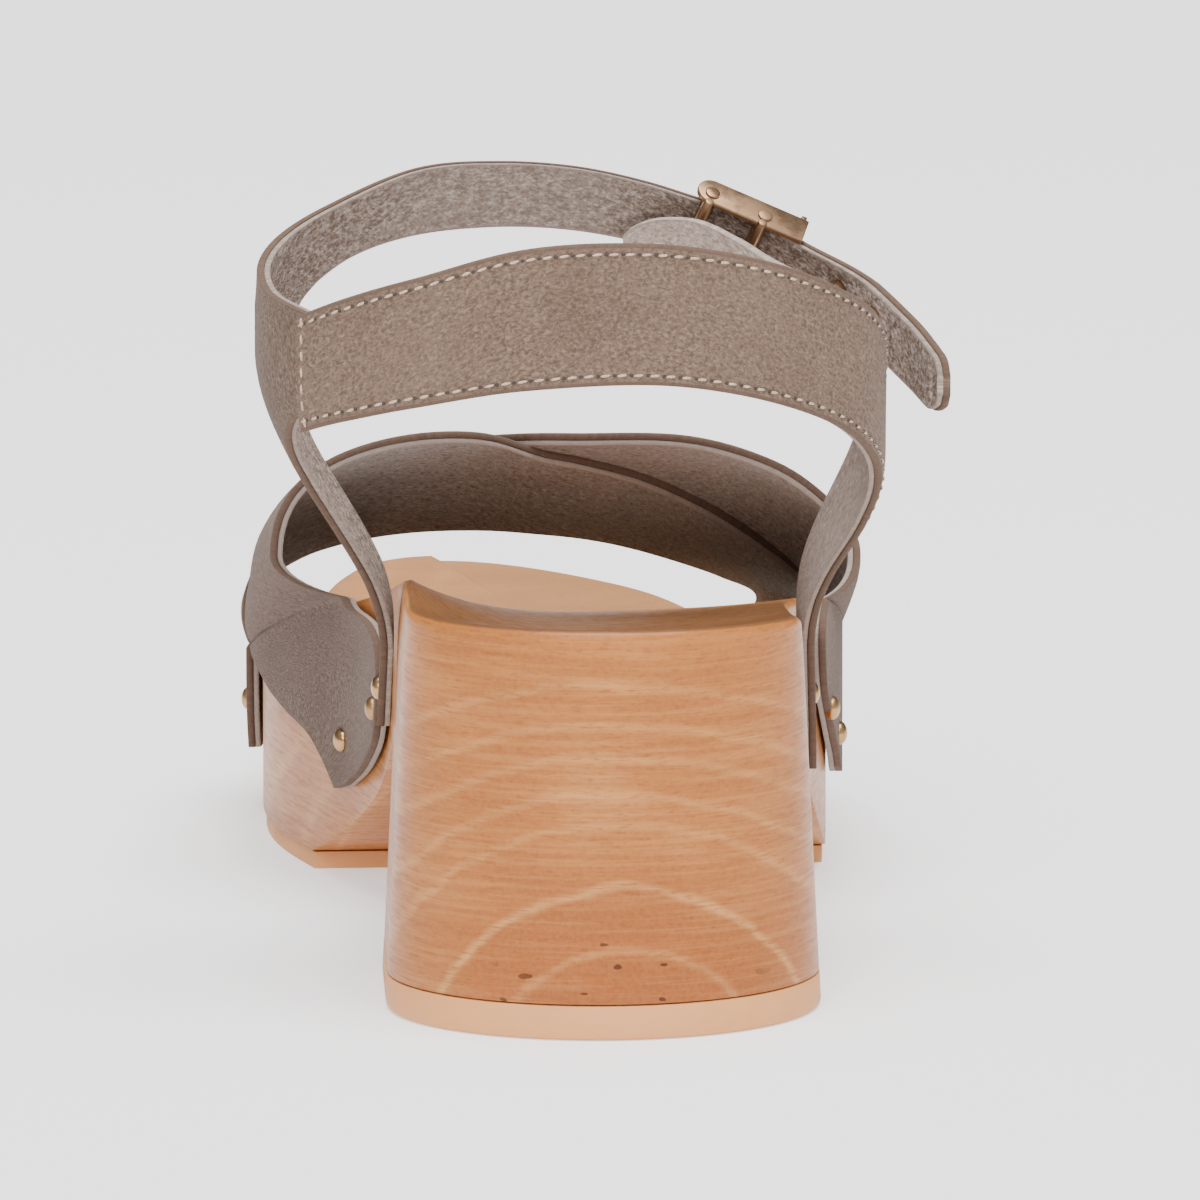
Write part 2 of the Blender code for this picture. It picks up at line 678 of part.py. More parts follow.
def buckle_place():
    """Matrix of the buckle, x along the strap, y out of it and z up across it"""
    spot, along, out = strap_spot(ANKLE_STRAP, BUCKLE_STATION)
    up = along.cross(out)
    frame = Matrix((along, out, up)).transposed().to_4x4()
    frame.translation = spot - up * BUCKLE_DROP
    return frame @ Matrix.Rotation(BUCKLE_TILT, 4, "Y")


def strap_width(station):
    upper, _, _ = strap_spot(ANKLE_STRAP, station, 0.0)
    lower, _, _ = strap_spot(ANKLE_STRAP, station, 1.0)
    return (upper - lower).length


def box(name, size, matrix, collection, finish=None):
    work = bmesh.new()
    bmesh.ops.create_cube(work, size=1, matrix=matrix @ Matrix.Diagonal((*size, 1)))
    return add_mesh(name, finish_mesh(work, name), collection, finish)


def buckle_cheek(name, low, high, place, parts, finish):
    """Flat plate along one edge of the strap, round at its front end"""
    end, deep = BUCKLE_LENGTH / 2, BUCKLE_DEPTH / 2
    outline = [(end, -deep), (end, deep)]
    for turn in range(90, 271, 20):
        angle = radians(turn)
        outline.append((-end + deep + deep * cos(angle), deep * sin(angle)))
    work = bmesh.new()
    face = work.faces.new([work.verts.new((x, y + BUCKLE_SHIFT, low)) for x, y in outline])
    pushed = bmesh.ops.extrude_face_region(work, geom=[face])
    moved = [item for item in pushed["geom"] if isinstance(item, bmesh.types.BMVert)]
    bmesh.ops.translate(work, verts=moved, vec=(0, 0, high - low))
    bmesh.ops.transform(work, matrix=place, verts=work.verts)
    return add_mesh(name, finish_mesh(work, name), parts, finish)


def make_buckle(parts, cutters, strap):
    """Box buckle with two cheeks, two bars, a keeper bar and a prong"""
    place = buckle_place()
    inside = strap_width(BUCKLE_STATION) / 2 + BUCKLE_PLAY
    outside = inside + BUCKLE_METAL
    finish = brass("buckle_brass")
    frame = buckle_cheek("buckle_frame", inside, outside, place, parts, finish)
    lower = buckle_cheek("lower_cheek", -outside, -inside, place, parts, finish)
    wall = STRAP_THICKNESS / 2 + 4 * GAP
    end = BUCKLE_LENGTH / 2
    joined = [lower]
    for name, x in (("front_bar", BUCKLE_DEPTH / 2 - end), ("middle_bar", BUCKLE_MIDDLE)):
        y = -wall - AXLE_WIDTH / 2 - curve_away(x)
        bar = cylinder(name, AXLE_WIDTH, 2 * outside + AXLE_WIDTH / 2,
                       place @ Matrix.Translation((x, y, 0)), parts, None, 12)
        joined.append(bar)
    x = end - BUCKLE_METAL
    y = wall + BUCKLE_METAL - curve_away(x)
    joined.append(box("keeper", (BUCKLE_METAL, BUCKLE_METAL * 1.6, 2 * inside + BUCKLE_METAL),
                      place @ Matrix.Translation((x, y, 0)), parts))
    for piece in joined:
        cut(frame, piece, "UNION")
        bpy.data.objects.remove(piece)

    hole_at = BUCKLE_MIDDLE - AXLE_WIDTH / 2 - PRONG_WIDTH
    turn = Matrix.Rotation(radians(90), 4, "X")
    hole = cylinder("prong_hole", EYELET_HOLE, STRAP_THICKNESS * 3,
                    place @ Matrix.Translation((hole_at, 0, 0)) @ turn, cutters)
    hole.hide_render = True
    hole.display_type = "WIRE"
    cut(strap, hole)
    over = wall + PRONG_WIDTH / 2 + GAP
    route = [(hole_at, -wall), (hole_at, wall * 0.8), (hole_at - PRONG_STEP, over),
             (-end / 2, over - curve_away(end / 2) / 2), (-end + BUCKLE_METAL, over - curve_away(end))]
    tube("prong", [place @ Vector((x, y, 0)) for x, y in route], PRONG_WIDTH, parts, brass("prong_brass"))


def tube(name, points, width, collection, finish):
    """Round bar through the points with closed ends"""
    curve = bpy.data.curves.new(name, "CURVE")
    curve.dimensions = "3D"
    curve.bevel_depth = width / 2
    curve.bevel_resolution = 2
    curve.use_fill_caps = True
    spline = curve.splines.new("POLY")
    spline.points.add(len(points) - 1)
    for target, point in zip(spline.points, points):
        target.co = (*point, 1)
    guide = bpy.data.objects.new(name + "_curve", curve)
    collection.objects.link(guide)
    bpy.context.view_layer.update()
    graph = bpy.context.evaluated_depsgraph_get()
    work = bmesh.new()
    work.from_mesh(bpy.data.meshes.new_from_object(guide.evaluated_get(graph)))
    bpy.data.objects.remove(guide)
    return add_mesh(name, finish_mesh(work, name), collection, finish)


def main():
    for old in list(bpy.data.objects):
        bpy.data.objects.remove(old)
    parts = bpy.data.collections.new("wooden_sole_sandal")
    cutters = bpy.data.collections.new("cutters")
    bpy.context.scene.collection.children.link(parts)
    bpy.context.scene.collection.children.link(cutters)

    wood = material("alder_wood", (0.60, 0.36, 0.22), 0.35)
    tip_rubber = material("beige_rubber", (0.72, 0.49, 0.34), 0.6)
    sole_rubber = material("tread_rubber", (0.62, 0.44, 0.32), 0.7)

    make_sole(parts, cutters, wood, tip_rubber, sole_rubber)
    make_front_straps(parts)
    ribbon("heel_band", HEEL_BAND, ankle_point, 3, 4, parts, suede("heel_band_suede"))
    strap = ribbon("ankle_strap", ANKLE_STRAP, ankle_point, 3, 4, parts, suede("ankle_strap_suede"))
    ribbon("buckle_strap", BUCKLE_STRAP, ankle_point, 3, 3, parts, suede("buckle_strap_suede"))
    for number, station in enumerate(EYELET_STATIONS, 1):
        spot, _, out = strap_spot(ANKLE_STRAP, station)
        hole = cylinder(f"eyelet_hole_{number}", EYELET_HOLE + 2 * (EYELET_WALL + GAP),
                        STRAP_THICKNESS * 4, facing(spot, out), cutters)
        hole.hide_render = True
        hole.display_type = "WIRE"
        cut(strap, hole)
        make_eyelet(f"eyelet_{number}", spot, out, parts)
    make_nails(parts)
    make_buckle(parts, cutters, strap)


main()
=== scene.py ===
"""Wooden sole sandal for the right foot, seen from behind on a pale studio floor."""
from collections import namedtuple
from math import cos, pi, radians, sin, sqrt

import bmesh
import bpy
from mathutils import Matrix, Vector, noise


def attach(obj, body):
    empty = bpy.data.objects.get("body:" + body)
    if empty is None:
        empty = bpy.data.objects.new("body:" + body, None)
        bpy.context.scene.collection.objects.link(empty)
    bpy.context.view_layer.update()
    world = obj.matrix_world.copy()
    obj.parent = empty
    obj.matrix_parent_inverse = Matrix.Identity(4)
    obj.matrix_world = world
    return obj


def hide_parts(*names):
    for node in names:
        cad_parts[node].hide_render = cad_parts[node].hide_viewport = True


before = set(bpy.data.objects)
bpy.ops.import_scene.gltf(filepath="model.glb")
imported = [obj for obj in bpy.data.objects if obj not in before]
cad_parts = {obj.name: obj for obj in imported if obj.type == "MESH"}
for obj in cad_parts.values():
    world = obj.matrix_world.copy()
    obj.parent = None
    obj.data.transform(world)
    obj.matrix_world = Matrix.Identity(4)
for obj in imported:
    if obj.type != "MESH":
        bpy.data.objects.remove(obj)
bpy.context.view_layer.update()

# Studio
# The shoe stands alone on a pale sheet of paper. A long lens looks at it from
# behind and a little above. One soft light stands beside the camera and a
# larger one hangs above the shoe.
VIEW_POINT = Vector((-0.2143, -3.5240, 0.7542))
AIM_POINT = Vector((-0.0030, -0.0444, 0.0783))
LENS_MM = 634.0
BRIGHT_SIDE = (0.05, -0.66, 0.75)
ROOM_DARK = 0.02
ROOM_BRIGHT = 0.90
PAPER_WHITE = (0.74, 0.735, 0.735)
PAPER_GLOW = 0.68
PAPER_REACH = 14
PAPER_TOOTH = 900
PAPER_TOOTH_DEPTH = 0.001

eye_data = bpy.data.cameras.new("studio_camera")
eye_data.lens = LENS_MM
eye_data.sensor_width = 36.0
eye_data.clip_end = 100.0
eye = bpy.data.objects.new("studio_camera", eye_data)
bpy.context.scene.collection.objects.link(eye)
eye.location = VIEW_POINT
eye.rotation_euler = (AIM_POINT - VIEW_POINT).to_track_quat("-Z", "Y").to_euler()
bpy.context.scene.camera = eye


def soft_light(name, place, target, size, watts, tint):
    lamp = bpy.data.lights.new(name, "AREA")
    lamp.shape = "DISK"
    lamp.size = size
    lamp.energy = watts
    lamp.color = tint
    holder = bpy.data.objects.new(name, lamp)
    bpy.context.scene.collection.objects.link(holder)
    holder.location = place
    holder.rotation_euler = (Vector(target) - Vector(place)).to_track_quat("-Z", "Y").to_euler()


soft_light("key_light", (-0.7, -3.1, 2.3), (0, 0.05, 0.05), 2.0, 85, (1.0, 0.985, 0.965))
soft_light("top_light", (0.2, -0.4, 3.2), (0, 0.1, 0.0), 2.6, 205, (1.0, 1.0, 1.0))

def set_inputs(node, **values):
    """Constant values for a node's inputs, each named with _ for a space"""
    for key, value in values.items():
        node.inputs[key.replace("_", " ")].default_value = value
    return node


room = bpy.data.worlds.new("studio_room")
room.use_nodes = True
air = room.node_tree.nodes["Background"]
air.inputs["Color"].default_value = (0.97, 0.98, 1.0, 1)
looking = room.node_tree.nodes.new("ShaderNodeTexCoord")
towards_light = room.node_tree.nodes.new("ShaderNodeVectorMath")
towards_light.operation = "DOT_PRODUCT"
towards_light.inputs[1].default_value = BRIGHT_SIDE
falling = set_inputs(room.node_tree.nodes.new("ShaderNodeMapRange"),
                     From_Min=-0.45, From_Max=0.9, To_Min=ROOM_DARK, To_Max=ROOM_BRIGHT)
room.node_tree.links.new(looking.outputs["Generated"], towards_light.inputs[0])
room.node_tree.links.new(towards_light.outputs["Value"], falling.inputs["Value"])
room.node_tree.links.new(falling.outputs["Result"], air.inputs["Strength"])
bpy.context.scene.world = room


def plain_material(name, colour, roughness):
    """A Principled material, its node tree and its shader"""
    made = bpy.data.materials.new(name)
    made.use_nodes = True
    shader = made.node_tree.nodes["Principled BSDF"]
    shader.inputs["Base Color"].default_value = (*colour, 1)
    shader.inputs["Roughness"].default_value = roughness
    return made, made.node_tree, shader


def add_bump(tree, height, strength, distance):
    """Relief from a height value on the material's shader"""
    bump = set_inputs(tree.nodes.new("ShaderNodeBump"), Strength=strength, Distance=distance)
    tree.links.new(height, bump.inputs["Height"])
    tree.links.new(bump.outputs["Normal"], tree.nodes["Principled BSDF"].inputs["Normal"])


paper = bmesh.new()
bmesh.ops.create_grid(paper, x_segments=1, y_segments=1, size=PAPER_REACH)
paper_mesh = bpy.data.meshes.new("paper_floor")
paper.to_mesh(paper_mesh)
paper.free()
floor = bpy.data.objects.new("paper_floor", paper_mesh)
bpy.context.scene.collection.objects.link(floor)
finish, tree, shader = plain_material("paper_white", PAPER_WHITE, 0.9)
tooth = set_inputs(tree.nodes.new("ShaderNodeTexNoise"), Scale=PAPER_TOOTH)
add_bump(tree, tooth.outputs["Fac"], 0.02, PAPER_TOOTH_DEPTH)
set_inputs(shader, Emission_Color=(1, 0.99, 0.99, 1), Emission_Strength=PAPER_GLOW)
paper_mesh.materials.append(finish)

# Wooden sole
# One block of pale alder carries heel, arch and forefoot. It is carved with a
# dished footbed, its rim is eased by hand, and it is lacquered to a soft shine.
SOLE_LENGTH = 0.252
BALL_WIDTH = 0.0985
HEEL_HEIGHT = 0.070
FOREFOOT_HEIGHT = 0.0295
HEEL_BEHIND = 0.030
HEEL_DEPTH = 0.057
HEEL_FLARE = 0.0034
HEEL_ROUND = 0.027
TOE_ROUND = 0.045
TOE_SPRING = 0.011
ARCH_HEIGHT = 0.037
BREAST_ROUND = 0.012
BREAST_LEAN = 0.15
ARCH_REACH = 1.6
ARCH_SWEEP = 0.35
TOE_CURVE = 1.8
DISH_CURVE = 2.5
TREAD_START = 0.114
TREAD_END = 0.172
RIM_ROUND = 0.0018
TIP_THICKNESS = 0.006
OUTSOLE_THICKNESS = 0.003
JOINT_GAP = 0.0003

Section = namedtuple("Section", "along middle half centre inner outer instep foot_in foot_out")
SECTIONS = [Section(*row) for row in (
    (0.00, 0.000, 0.343, 0.960, 1.000, 1.000, 1.150, 0.440, 0.440),
    (0.08, 0.000, 0.343, 0.890, 0.990, 0.955, 1.150, 0.440, 0.440),
    (0.20, 0.007, 0.342, 0.790, 0.965, 0.835, 1.150, 0.450, 0.450),
    (0.32, 0.018, 0.343, 0.690, 0.845, 0.730, 1.110, 0.475, 0.465),
    (0.44, 0.035, 0.384, 0.556, 0.650, 0.600, 1.020, 0.500, 0.485),
    (0.56, 0.013, 0.454, 0.350, 0.420, 0.400, 0.870, 0.530, 0.505),
    (0.64, -0.008, 0.489, 0.160, 0.240, 0.220, 0.735, 0.530, 0.500),
    (0.71, -0.022, 0.495, 0.050, 0.090, 0.080, 0.630, 0.528, 0.490),
    (0.79, -0.038, 0.465, 0.002, 0.030, 0.010, 0.550, 0.515, 0.445),
    (0.89, -0.048, 0.395, 0.030, 0.045, -0.010, 0.500, 0.430, 0.340),
    (0.95, -0.080, 0.395, 0.100, 0.105, 0.050, 0.480, 0.380, 0.260),
    (1.00, -0.160, 0.380, 0.150, 0.150, 0.130, 0.480, 0.350, 0.200),
)]


def smooth(places, values, at):
    """Cubic curve through the values, level past both ends"""
    last = len(places) - 1
    if at <= places[0]:
        return values[0]
    if at >= places[last]:
        return values[last]
    k = max(i for i in range(last) if places[i] <= at)

    def slope(i):
        before, after = max(i - 1, 0), min(i + 1, last)
        return (values[after] - values[before]) / (places[after] - places[before])

    span = places[k + 1] - places[k]
    t = (at - places[k]) / span
    return ((2 * t**3 - 3 * t**2 + 1) * values[k] + (t**3 - 2 * t**2 + t) * span * slope(k)
            + (3 * t**2 - 2 * t**3) * values[k + 1] + (t**3 - t**2) * span * slope(k + 1))


SECTION_PLACES = [row.along for row in SECTIONS]
SECTION_COLUMNS = {name: [getattr(row, name) for row in SECTIONS] for name in Section._fields}


def sole(name, y):
    return smooth(SECTION_PLACES, SECTION_COLUMNS[name], (y + HEEL_BEHIND) / SOLE_LENGTH)


def at_share(along):
    return along * SOLE_LENGTH - HEEL_BEHIND


def middle(y):
    return sole("middle", y) * BALL_WIDTH


def half_width(y):
    behind = min(max(y + HEEL_BEHIND, 0), HEEL_ROUND) / HEEL_ROUND
    ahead = min(max(SOLE_LENGTH - HEEL_BEHIND - y, 0), TOE_ROUND) / TOE_ROUND
    return sole("half", y) * BALL_WIDTH * sqrt(1 - (1 - behind) ** 2) * sqrt(1 - (1 - ahead) ** 2)


def level(name, y):
    return FOREFOOT_HEIGHT + sole(name, y) * (HEEL_HEIGHT - FOREFOOT_HEIGHT)


def rim(y, side):
    return level("inner", y) * (1 - side) / 2 + level("outer", y) * (1 + side) / 2


def footbed(side, y):
    edge = level("inner", y) if side < 0 else level("outer", y)
    return level("centre", y) + (edge - level("centre", y)) * abs(side) ** DISH_CURVE


def flare(y, z):
    fade = 1 - min(max((y - HEEL_DEPTH + HEEL_BEHIND) / HEEL_DEPTH, 0), 1)
    return HEEL_FLARE * fade * max(0, 1 - z / HEEL_HEIGHT)


def plan_ring(steps, grow):
    """Outline of the sole from above, moved out by grow(y)"""
    ring = []
    for k in range(2 * steps):
        y = at_share((1 - cos(pi * k / steps)) / 2)
        side = -1 if k < steps else 1
        ring.append((middle(y) + side * half_width(y), y, side))
    moved = []
    for k, (x, y, side) in enumerate(ring):
        before, after = ring[k - 1], ring[(k + 1) % len(ring)]
        away = Vector((before[1] - after[1], after[0] - before[0])).normalized()
        moved.append((x + away.x * grow(y), y + away.y * grow(y), side))
    return moved


def new_piece(name, work, finish=None):
    """A finished bmesh as an object at the origin"""
    mesh = bpy.data.meshes.new(name)
    work.to_mesh(mesh)
    work.free()
    piece = bpy.data.objects.new(name, mesh)
    bpy.context.scene.collection.objects.link(piece)
    if finish:
        mesh.materials.append(finish)
    return piece


def sole_blank(name, inset=0.0, floor_round=0.0):
    """The outline with its flared heel and dished top, down to the floor"""
    steps = 110
    work = bmesh.new()
    rings = []

    def add_ring(points):
        rings.append([work.verts.new(point) for point in points])

    if floor_round:
        for turn in (0, 25, 50, 75):
            inwards = floor_round * (1 - sin(radians(turn)))
            height = floor_round * (1 - cos(radians(turn)))
            add_ring([(x, y, height) for x, y, side in
                      plan_ring(steps, lambda y: flare(y, 0) - inset - inwards)])
    low = floor_round
    for share in (0.0, 0.15, 0.3, 0.45, 0.6, 0.75, 0.9):
        add_ring([(x, y, low + share * (rim(y, side) - RIM_ROUND - low)) for x, y, side in
                  plan_ring(steps, lambda y: flare(y, share * rim(y, 0)) - inset)])
    for turn in range(0, 91, 15):
        inwards = RIM_ROUND * (1 - cos(radians(turn)))
        drop = RIM_ROUND * (1 - sin(radians(turn)))
        add_ring([(x, y, rim(y, side) - drop) for x, y, side in
                  plan_ring(steps, lambda y: -inwards - inset)])
    edge = plan_ring(steps, lambda y: -RIM_ROUND - inset)
    for share in (0.97, 0.93, 0.88, 0.82, 0.75, 0.66, 0.56, 0.45, 0.34, 0.22, 0.11, 0.0):
        points = []
        for k, (x, y, side) in enumerate(edge):
            spine_y = at_share(0.1 + 0.8 * (1 - cos(pi * k / steps)) / 2)
            inner_y = spine_y + (y - spine_y) * share
            inner_x = middle(spine_y) + (x - middle(spine_y)) * share
            points.append((inner_x, inner_y, footbed(side * share, inner_y)))
        add_ring(points)
    for under, over in zip(rings, rings[1:]):
        for k in range(len(under)):
            n = (k + 1) % len(under)
            work.faces.new((under[k], under[n], over[n], over[k]))
    work.faces.new(list(reversed(rings[0])))
    bmesh.ops.remove_doubles(work, verts=work.verts, dist=0.00001)
    bmesh.ops.dissolve_degenerate(work, edges=work.edges, dist=0.00001)
    bmesh.ops.recalc_face_normals(work, faces=work.faces)
    return new_piece(name, work)


def push(work, outline, way):
    """A flat outline pushed into a solid"""
    face = work.faces.new([work.verts.new(point) for point in outline])
    pushed = bmesh.ops.extrude_face_region(work, geom=[face])
    moved = [item for item in pushed["geom"] if isinstance(item, bmesh.types.BMVert)]
    bmesh.ops.translate(work, verts=moved, vec=way)


def slab(name, profile):
    """A side outline pushed across the whole sole, to cut with"""
    work = bmesh.new()
    push(work, [(-BALL_WIDTH, y, z) for y, z in profile], (2 * BALL_WIDTH, 0, 0))
    bmesh.ops.recalc_face_normals(work, faces=work.faces)
    return new_piece(name, work)


def freeze(piece):
    """Replace the piece's mesh by what its modifiers make of it"""
    bpy.context.view_layer.update()
    graph = bpy.context.evaluated_depsgraph_get()
    mesh = bpy.data.meshes.new_from_object(piece.evaluated_get(graph))
    piece.modifiers.clear()
    piece.data = mesh


def carve(piece, cutter, operation):
    """Cut the piece with the cutter, then throw the cutter away"""
    tool = piece.modifiers.new("carve", "BOOLEAN")
    tool.object = cutter
    tool.operation = operation
    tool.solver = "EXACT"
    freeze(piece)
    bpy.data.objects.remove(cutter)


def soften(piece, width, segments=2, angle=32):
    """Ease the sharp edges and shade the rest smooth"""
    tool = piece.modifiers.new("soften", "BEVEL")
    tool.width = width
    tool.segments = segments
    tool.limit_method = "ANGLE"
    tool.angle_limit = radians(angle)
    freeze(piece)
    shade(piece, angle)


def shade(piece, angle):
    """Smooth faces, sharp where two meet at more than the angle"""
    piece.data.polygons.foreach_set("use_smooth", [True] * len(piece.data.polygons))
    piece.data.set_sharp_from_angle(angle=radians(angle))


def underside(offset):
    """Side curve under the sole from the heel's breast to the toe"""
    breast = HEEL_DEPTH - HEEL_BEHIND
    points = [(breast, offset), (breast - BREAST_ROUND * BREAST_LEAN, ARCH_HEIGHT - BREAST_ROUND)]
    for turn in range(20, 91, 7):
        angle = radians(turn)
        points.append((breast + BREAST_ROUND * (1 - cos(angle)),
                       ARCH_HEIGHT - BREAST_ROUND * (1 - sin(angle))))
    arch_end = breast + BREAST_ROUND * ARCH_REACH
    for step in range(1, 25):
        t = step / 24
        fall = t * t * (3 - 2 * t) * ARCH_SWEEP + t * (1 - ARCH_SWEEP)
        points.append((arch_end + (TREAD_START - arch_end) * t,
                       offset + (ARCH_HEIGHT - offset) * (1 - fall)))
    toe = SOLE_LENGTH - HEEL_BEHIND + OUTSOLE_THICKNESS
    for step in range(0, 25):
        t = step / 24
        points.append((TREAD_END + (toe - TREAD_END) * t, offset + TOE_SPRING * t**TOE_CURVE))
    return points


BEHIND = -HEEL_BEHIND - HEEL_FLARE * 2
BREAST = HEEL_DEPTH - HEEL_BEHIND
BELOW = -0.01
TOE_END = SOLE_LENGTH - HEEL_BEHIND + OUTSOLE_THICKNESS

WOOD = (0.430, 0.152, 0.036)
WOOD_LIGHT = (0.600, 0.295, 0.104)
WOOD_DARK = (0.250, 0.073, 0.016)
WOOD_HEART = (0.330, 0.093, 0.019)
# Painted shade: the up-facing heel seat is darkened to stand for its shadow under the straps
SEAT_PAINTED_SHADE = (0.100, 0.048, 0.022)
# Painted reflection: the up-facing forefoot top is paled to stand for the pale room's glancing reflection on
# the lacquer
FOREFOOT_PAINTED_SHEEN = (0.390, 0.208, 0.100)
HEART = Vector((0.0020, 0.0, -0.0058))
RINGS = (0.0216, 0.0322, 0.0430, 0.0482, 0.0545, 0.0600, 0.0665)
BOLD_RING = 1
RING_REACH = 0.085
RING_LINE = (0.010, 0.001, 0.003, 0.014)
SPECK_TONE = (0.060, 0.018, 0.007)
SPECK_ZONE = (0.034, 0.020)
FACING_UP = (0.72, 0.92)
SEAT_SHADE_FADE = (0.045, 0.075)
FOREFOOT_SHEEN_FADE = (0.085, 0.120)


def math_node(tree, operation, first, second=None):
    made = tree.nodes.new("ShaderNodeMath")
    made.operation = operation
    for socket, value in zip(made.inputs, (first, second)):
        if value is None:
            continue
        if isinstance(value, (int, float)):
            socket.default_value = value
        else:
            tree.links.new(value, socket)
    return made.outputs["Value"]


def mix_node(tree, share, first, second):
    made = tree.nodes.new("ShaderNodeMix")
    made.data_type = "RGBA"
    for socket, value in zip((made.inputs[0], made.inputs[6], made.inputs[7]), (share, first, second)):
        if isinstance(value, (int, float)):
            socket.default_value = value
        elif isinstance(value, tuple):
            socket.default_value = (*value, 1)
        else:
            tree.links.new(value, socket)
    return made.outputs[2]


def stretched_noise(tree, source, scale, detail, roughness, seed):
    """Noise with its own scale along each axis"""
    turn = set_inputs(tree.nodes.new("ShaderNodeMapping"), Scale=scale,
                      Location=(seed, seed * 1.7, seed * 0.6))
    tree.links.new(source, turn.inputs["Vector"])
    made = set_inputs(tree.nodes.new("ShaderNodeTexNoise"), Scale=1.0, Detail=detail,
                      Roughness=roughness)
    tree.links.new(turn.outputs["Vector"], made.inputs["Vector"])
    return made.outputs["Fac"]


def step_range(tree, value, low, high, to_low=0.0, to_high=1.0):
    made = tree.nodes.new("ShaderNodeMapRange")
    made.interpolation_type = "SMOOTHSTEP"
    set_inputs(made, From_Min=low, From_Max=high, To_Min=to_low, To_Max=to_high)
    tree.links.new(value, made.inputs["Value"])
    return made.outputs["Result"]


def colour_scale(tree, value, stops):
    made = tree.nodes.new("ShaderNodeValToRGB")
    scale = made.color_ramp
    scale.elements[0].position, scale.elements[0].color = stops[0][0], (*stops[0][1], 1)
    scale.elements[1].position, scale.elements[1].color = stops[-1][0], (*stops[-1][1], 1)
    for place, colour in stops[1:-1]:
        scale.elements.new(place).color = (*colour, 1)
    tree.links.new(value, made.inputs["Fac"])
    return made.outputs["Color"]


def blended(first, second, share):
    return tuple(a + (b - a) * share for a, b in zip(first, second))


def ring_stops():
    """Colour by distance from the heart, with a pale line at each winter"""
    stops = [(0.0, WOOD_HEART)]
    before, start, end, after = RING_LINE
    for number, radius in enumerate(RINGS):
        place = radius / RING_REACH
        ground = blended(WOOD_HEART, WOOD, min(1, number / 2))
        pale = blended(ground, WOOD_LIGHT, 0.8 if number == BOLD_RING else 0.42)
        deep = blended(ground, WOOD_DARK, 0.30 if number == BOLD_RING else 0.12)
        stops += [(place - before, deep), (place - start, pale), (place + end, pale), (place + after, ground)]
    stops.append((1.0, WOOD))
    return stops


wood, tree, shader = plain_material("alder_wood", WOOD, 0.38)
place = tree.nodes.new("ShaderNodeTexCoord").outputs["Object"]
sway = stretched_noise(tree, place, (26, 9, 26), 2, 0.5, 3.1)
ripple = stretched_noise(tree, place, (160, 30, 160), 2, 0.5, 1.4)
spot = tree.nodes.new("ShaderNodeSeparateXYZ")
tree.links.new(place, spot.inputs["Vector"])
across = math_node(tree, "SUBTRACT", spot.outputs["X"], HEART.x)
rise = math_node(tree, "SUBTRACT", spot.outputs["Z"], HEART.z)
reach = math_node(tree, "SQRT", math_node(tree, "ADD", math_node(tree, "MULTIPLY", across, across),
                                          math_node(tree, "MULTIPLY", rise, rise)))
reach = math_node(tree, "ADD", reach, step_range(tree, sway, 0.25, 0.75, -0.0009, 0.0009))
reach = math_node(tree, "ADD", reach, step_range(tree, ripple, 0.2, 0.8, -0.0004, 0.0004))
reach_share = math_node(tree, "DIVIDE", reach, RING_REACH)
ring_tone = colour_scale(tree, reach_share, ring_stops())
fleck = stretched_noise(tree, place, (420, 120, 2300), 3, 0.6, 5.0)
fibre = stretched_noise(tree, place, (1500, 60, 1500), 3, 0.6, 2.0)
cloud = stretched_noise(tree, place, (45, 16, 60), 3, 0.5, 7.0)
speck = stretched_noise(tree, place, (260, 140, 480), 1, 0.4, 9.3)
lines = stretched_noise(tree, place, (38, 38, 1300), 2, 0.6, 4.4)
tone = ring_tone
for pattern, low, high, to_low, to_high, shade_tone in (
        (cloud, 0.35, 0.75, 0.0, 0.30, WOOD_DARK),
        (cloud, 0.25, 0.50, 0.22, 0.0, WOOD_LIGHT),
        (fleck, 0.48, 0.70, 0.0, 0.60, WOOD_DARK),
        (lines, 0.42, 0.68, 0.0, 0.34, WOOD_DARK),
        (lines, 0.50, 0.34, 0.0, 0.14, WOOD_LIGHT),
        (fibre, 0.30, 0.70, 0.12, 0.0, WOOD_LIGHT)):
    tone = mix_node(tree, step_range(tree, pattern, low, high, to_low, to_high), tone, shade_tone)
heart_zone = step_range(tree, reach, *SPECK_ZONE)
speck_mask = math_node(tree, "MULTIPLY", step_range(tree, speck, 0.722, 0.755, 0.0, 0.9), heart_zone)
tone = mix_node(tree, speck_mask, tone, SPECK_TONE)
facing_way = tree.nodes.new("ShaderNodeSeparateXYZ")
tree.links.new(tree.nodes.new("ShaderNodeTexCoord").outputs["Normal"], facing_way.inputs["Vector"])
footbed_mask = step_range(tree, facing_way.outputs["Z"], *FACING_UP)
# Painted shade over the top of the heel seat, fading out towards the arch
seat_shade_mask = step_range(tree, spot.outputs["Y"], *SEAT_SHADE_FADE, 0.75, 0.0)
# Painted reflection over the top of the forefoot, fading in from the arch towards the toe
forefoot_sheen_mask = step_range(tree, spot.outputs["Y"], *FOREFOOT_SHEEN_FADE, 0.0, 0.70)
tone = mix_node(tree, math_node(tree, "MULTIPLY", footbed_mask, seat_shade_mask), tone, SEAT_PAINTED_SHADE)
tone = mix_node(tree, math_node(tree, "MULTIPLY", footbed_mask, forefoot_sheen_mask), tone, FOREFOOT_PAINTED_SHEEN)
tree.links.new(tone, shader.inputs["Base Color"])
gloss = step_range(tree, fleck, 0.3, 0.8, 0.33, 0.46)
tree.links.new(gloss, shader.inputs["Roughness"])
add_bump(tree, math_node(tree, "ADD", fleck, fibre), 0.09, 0.0004)
set_inputs(shader, Specular_IOR_Level=0.15, Coat_Weight=0.10, Coat_Roughness=0.24)

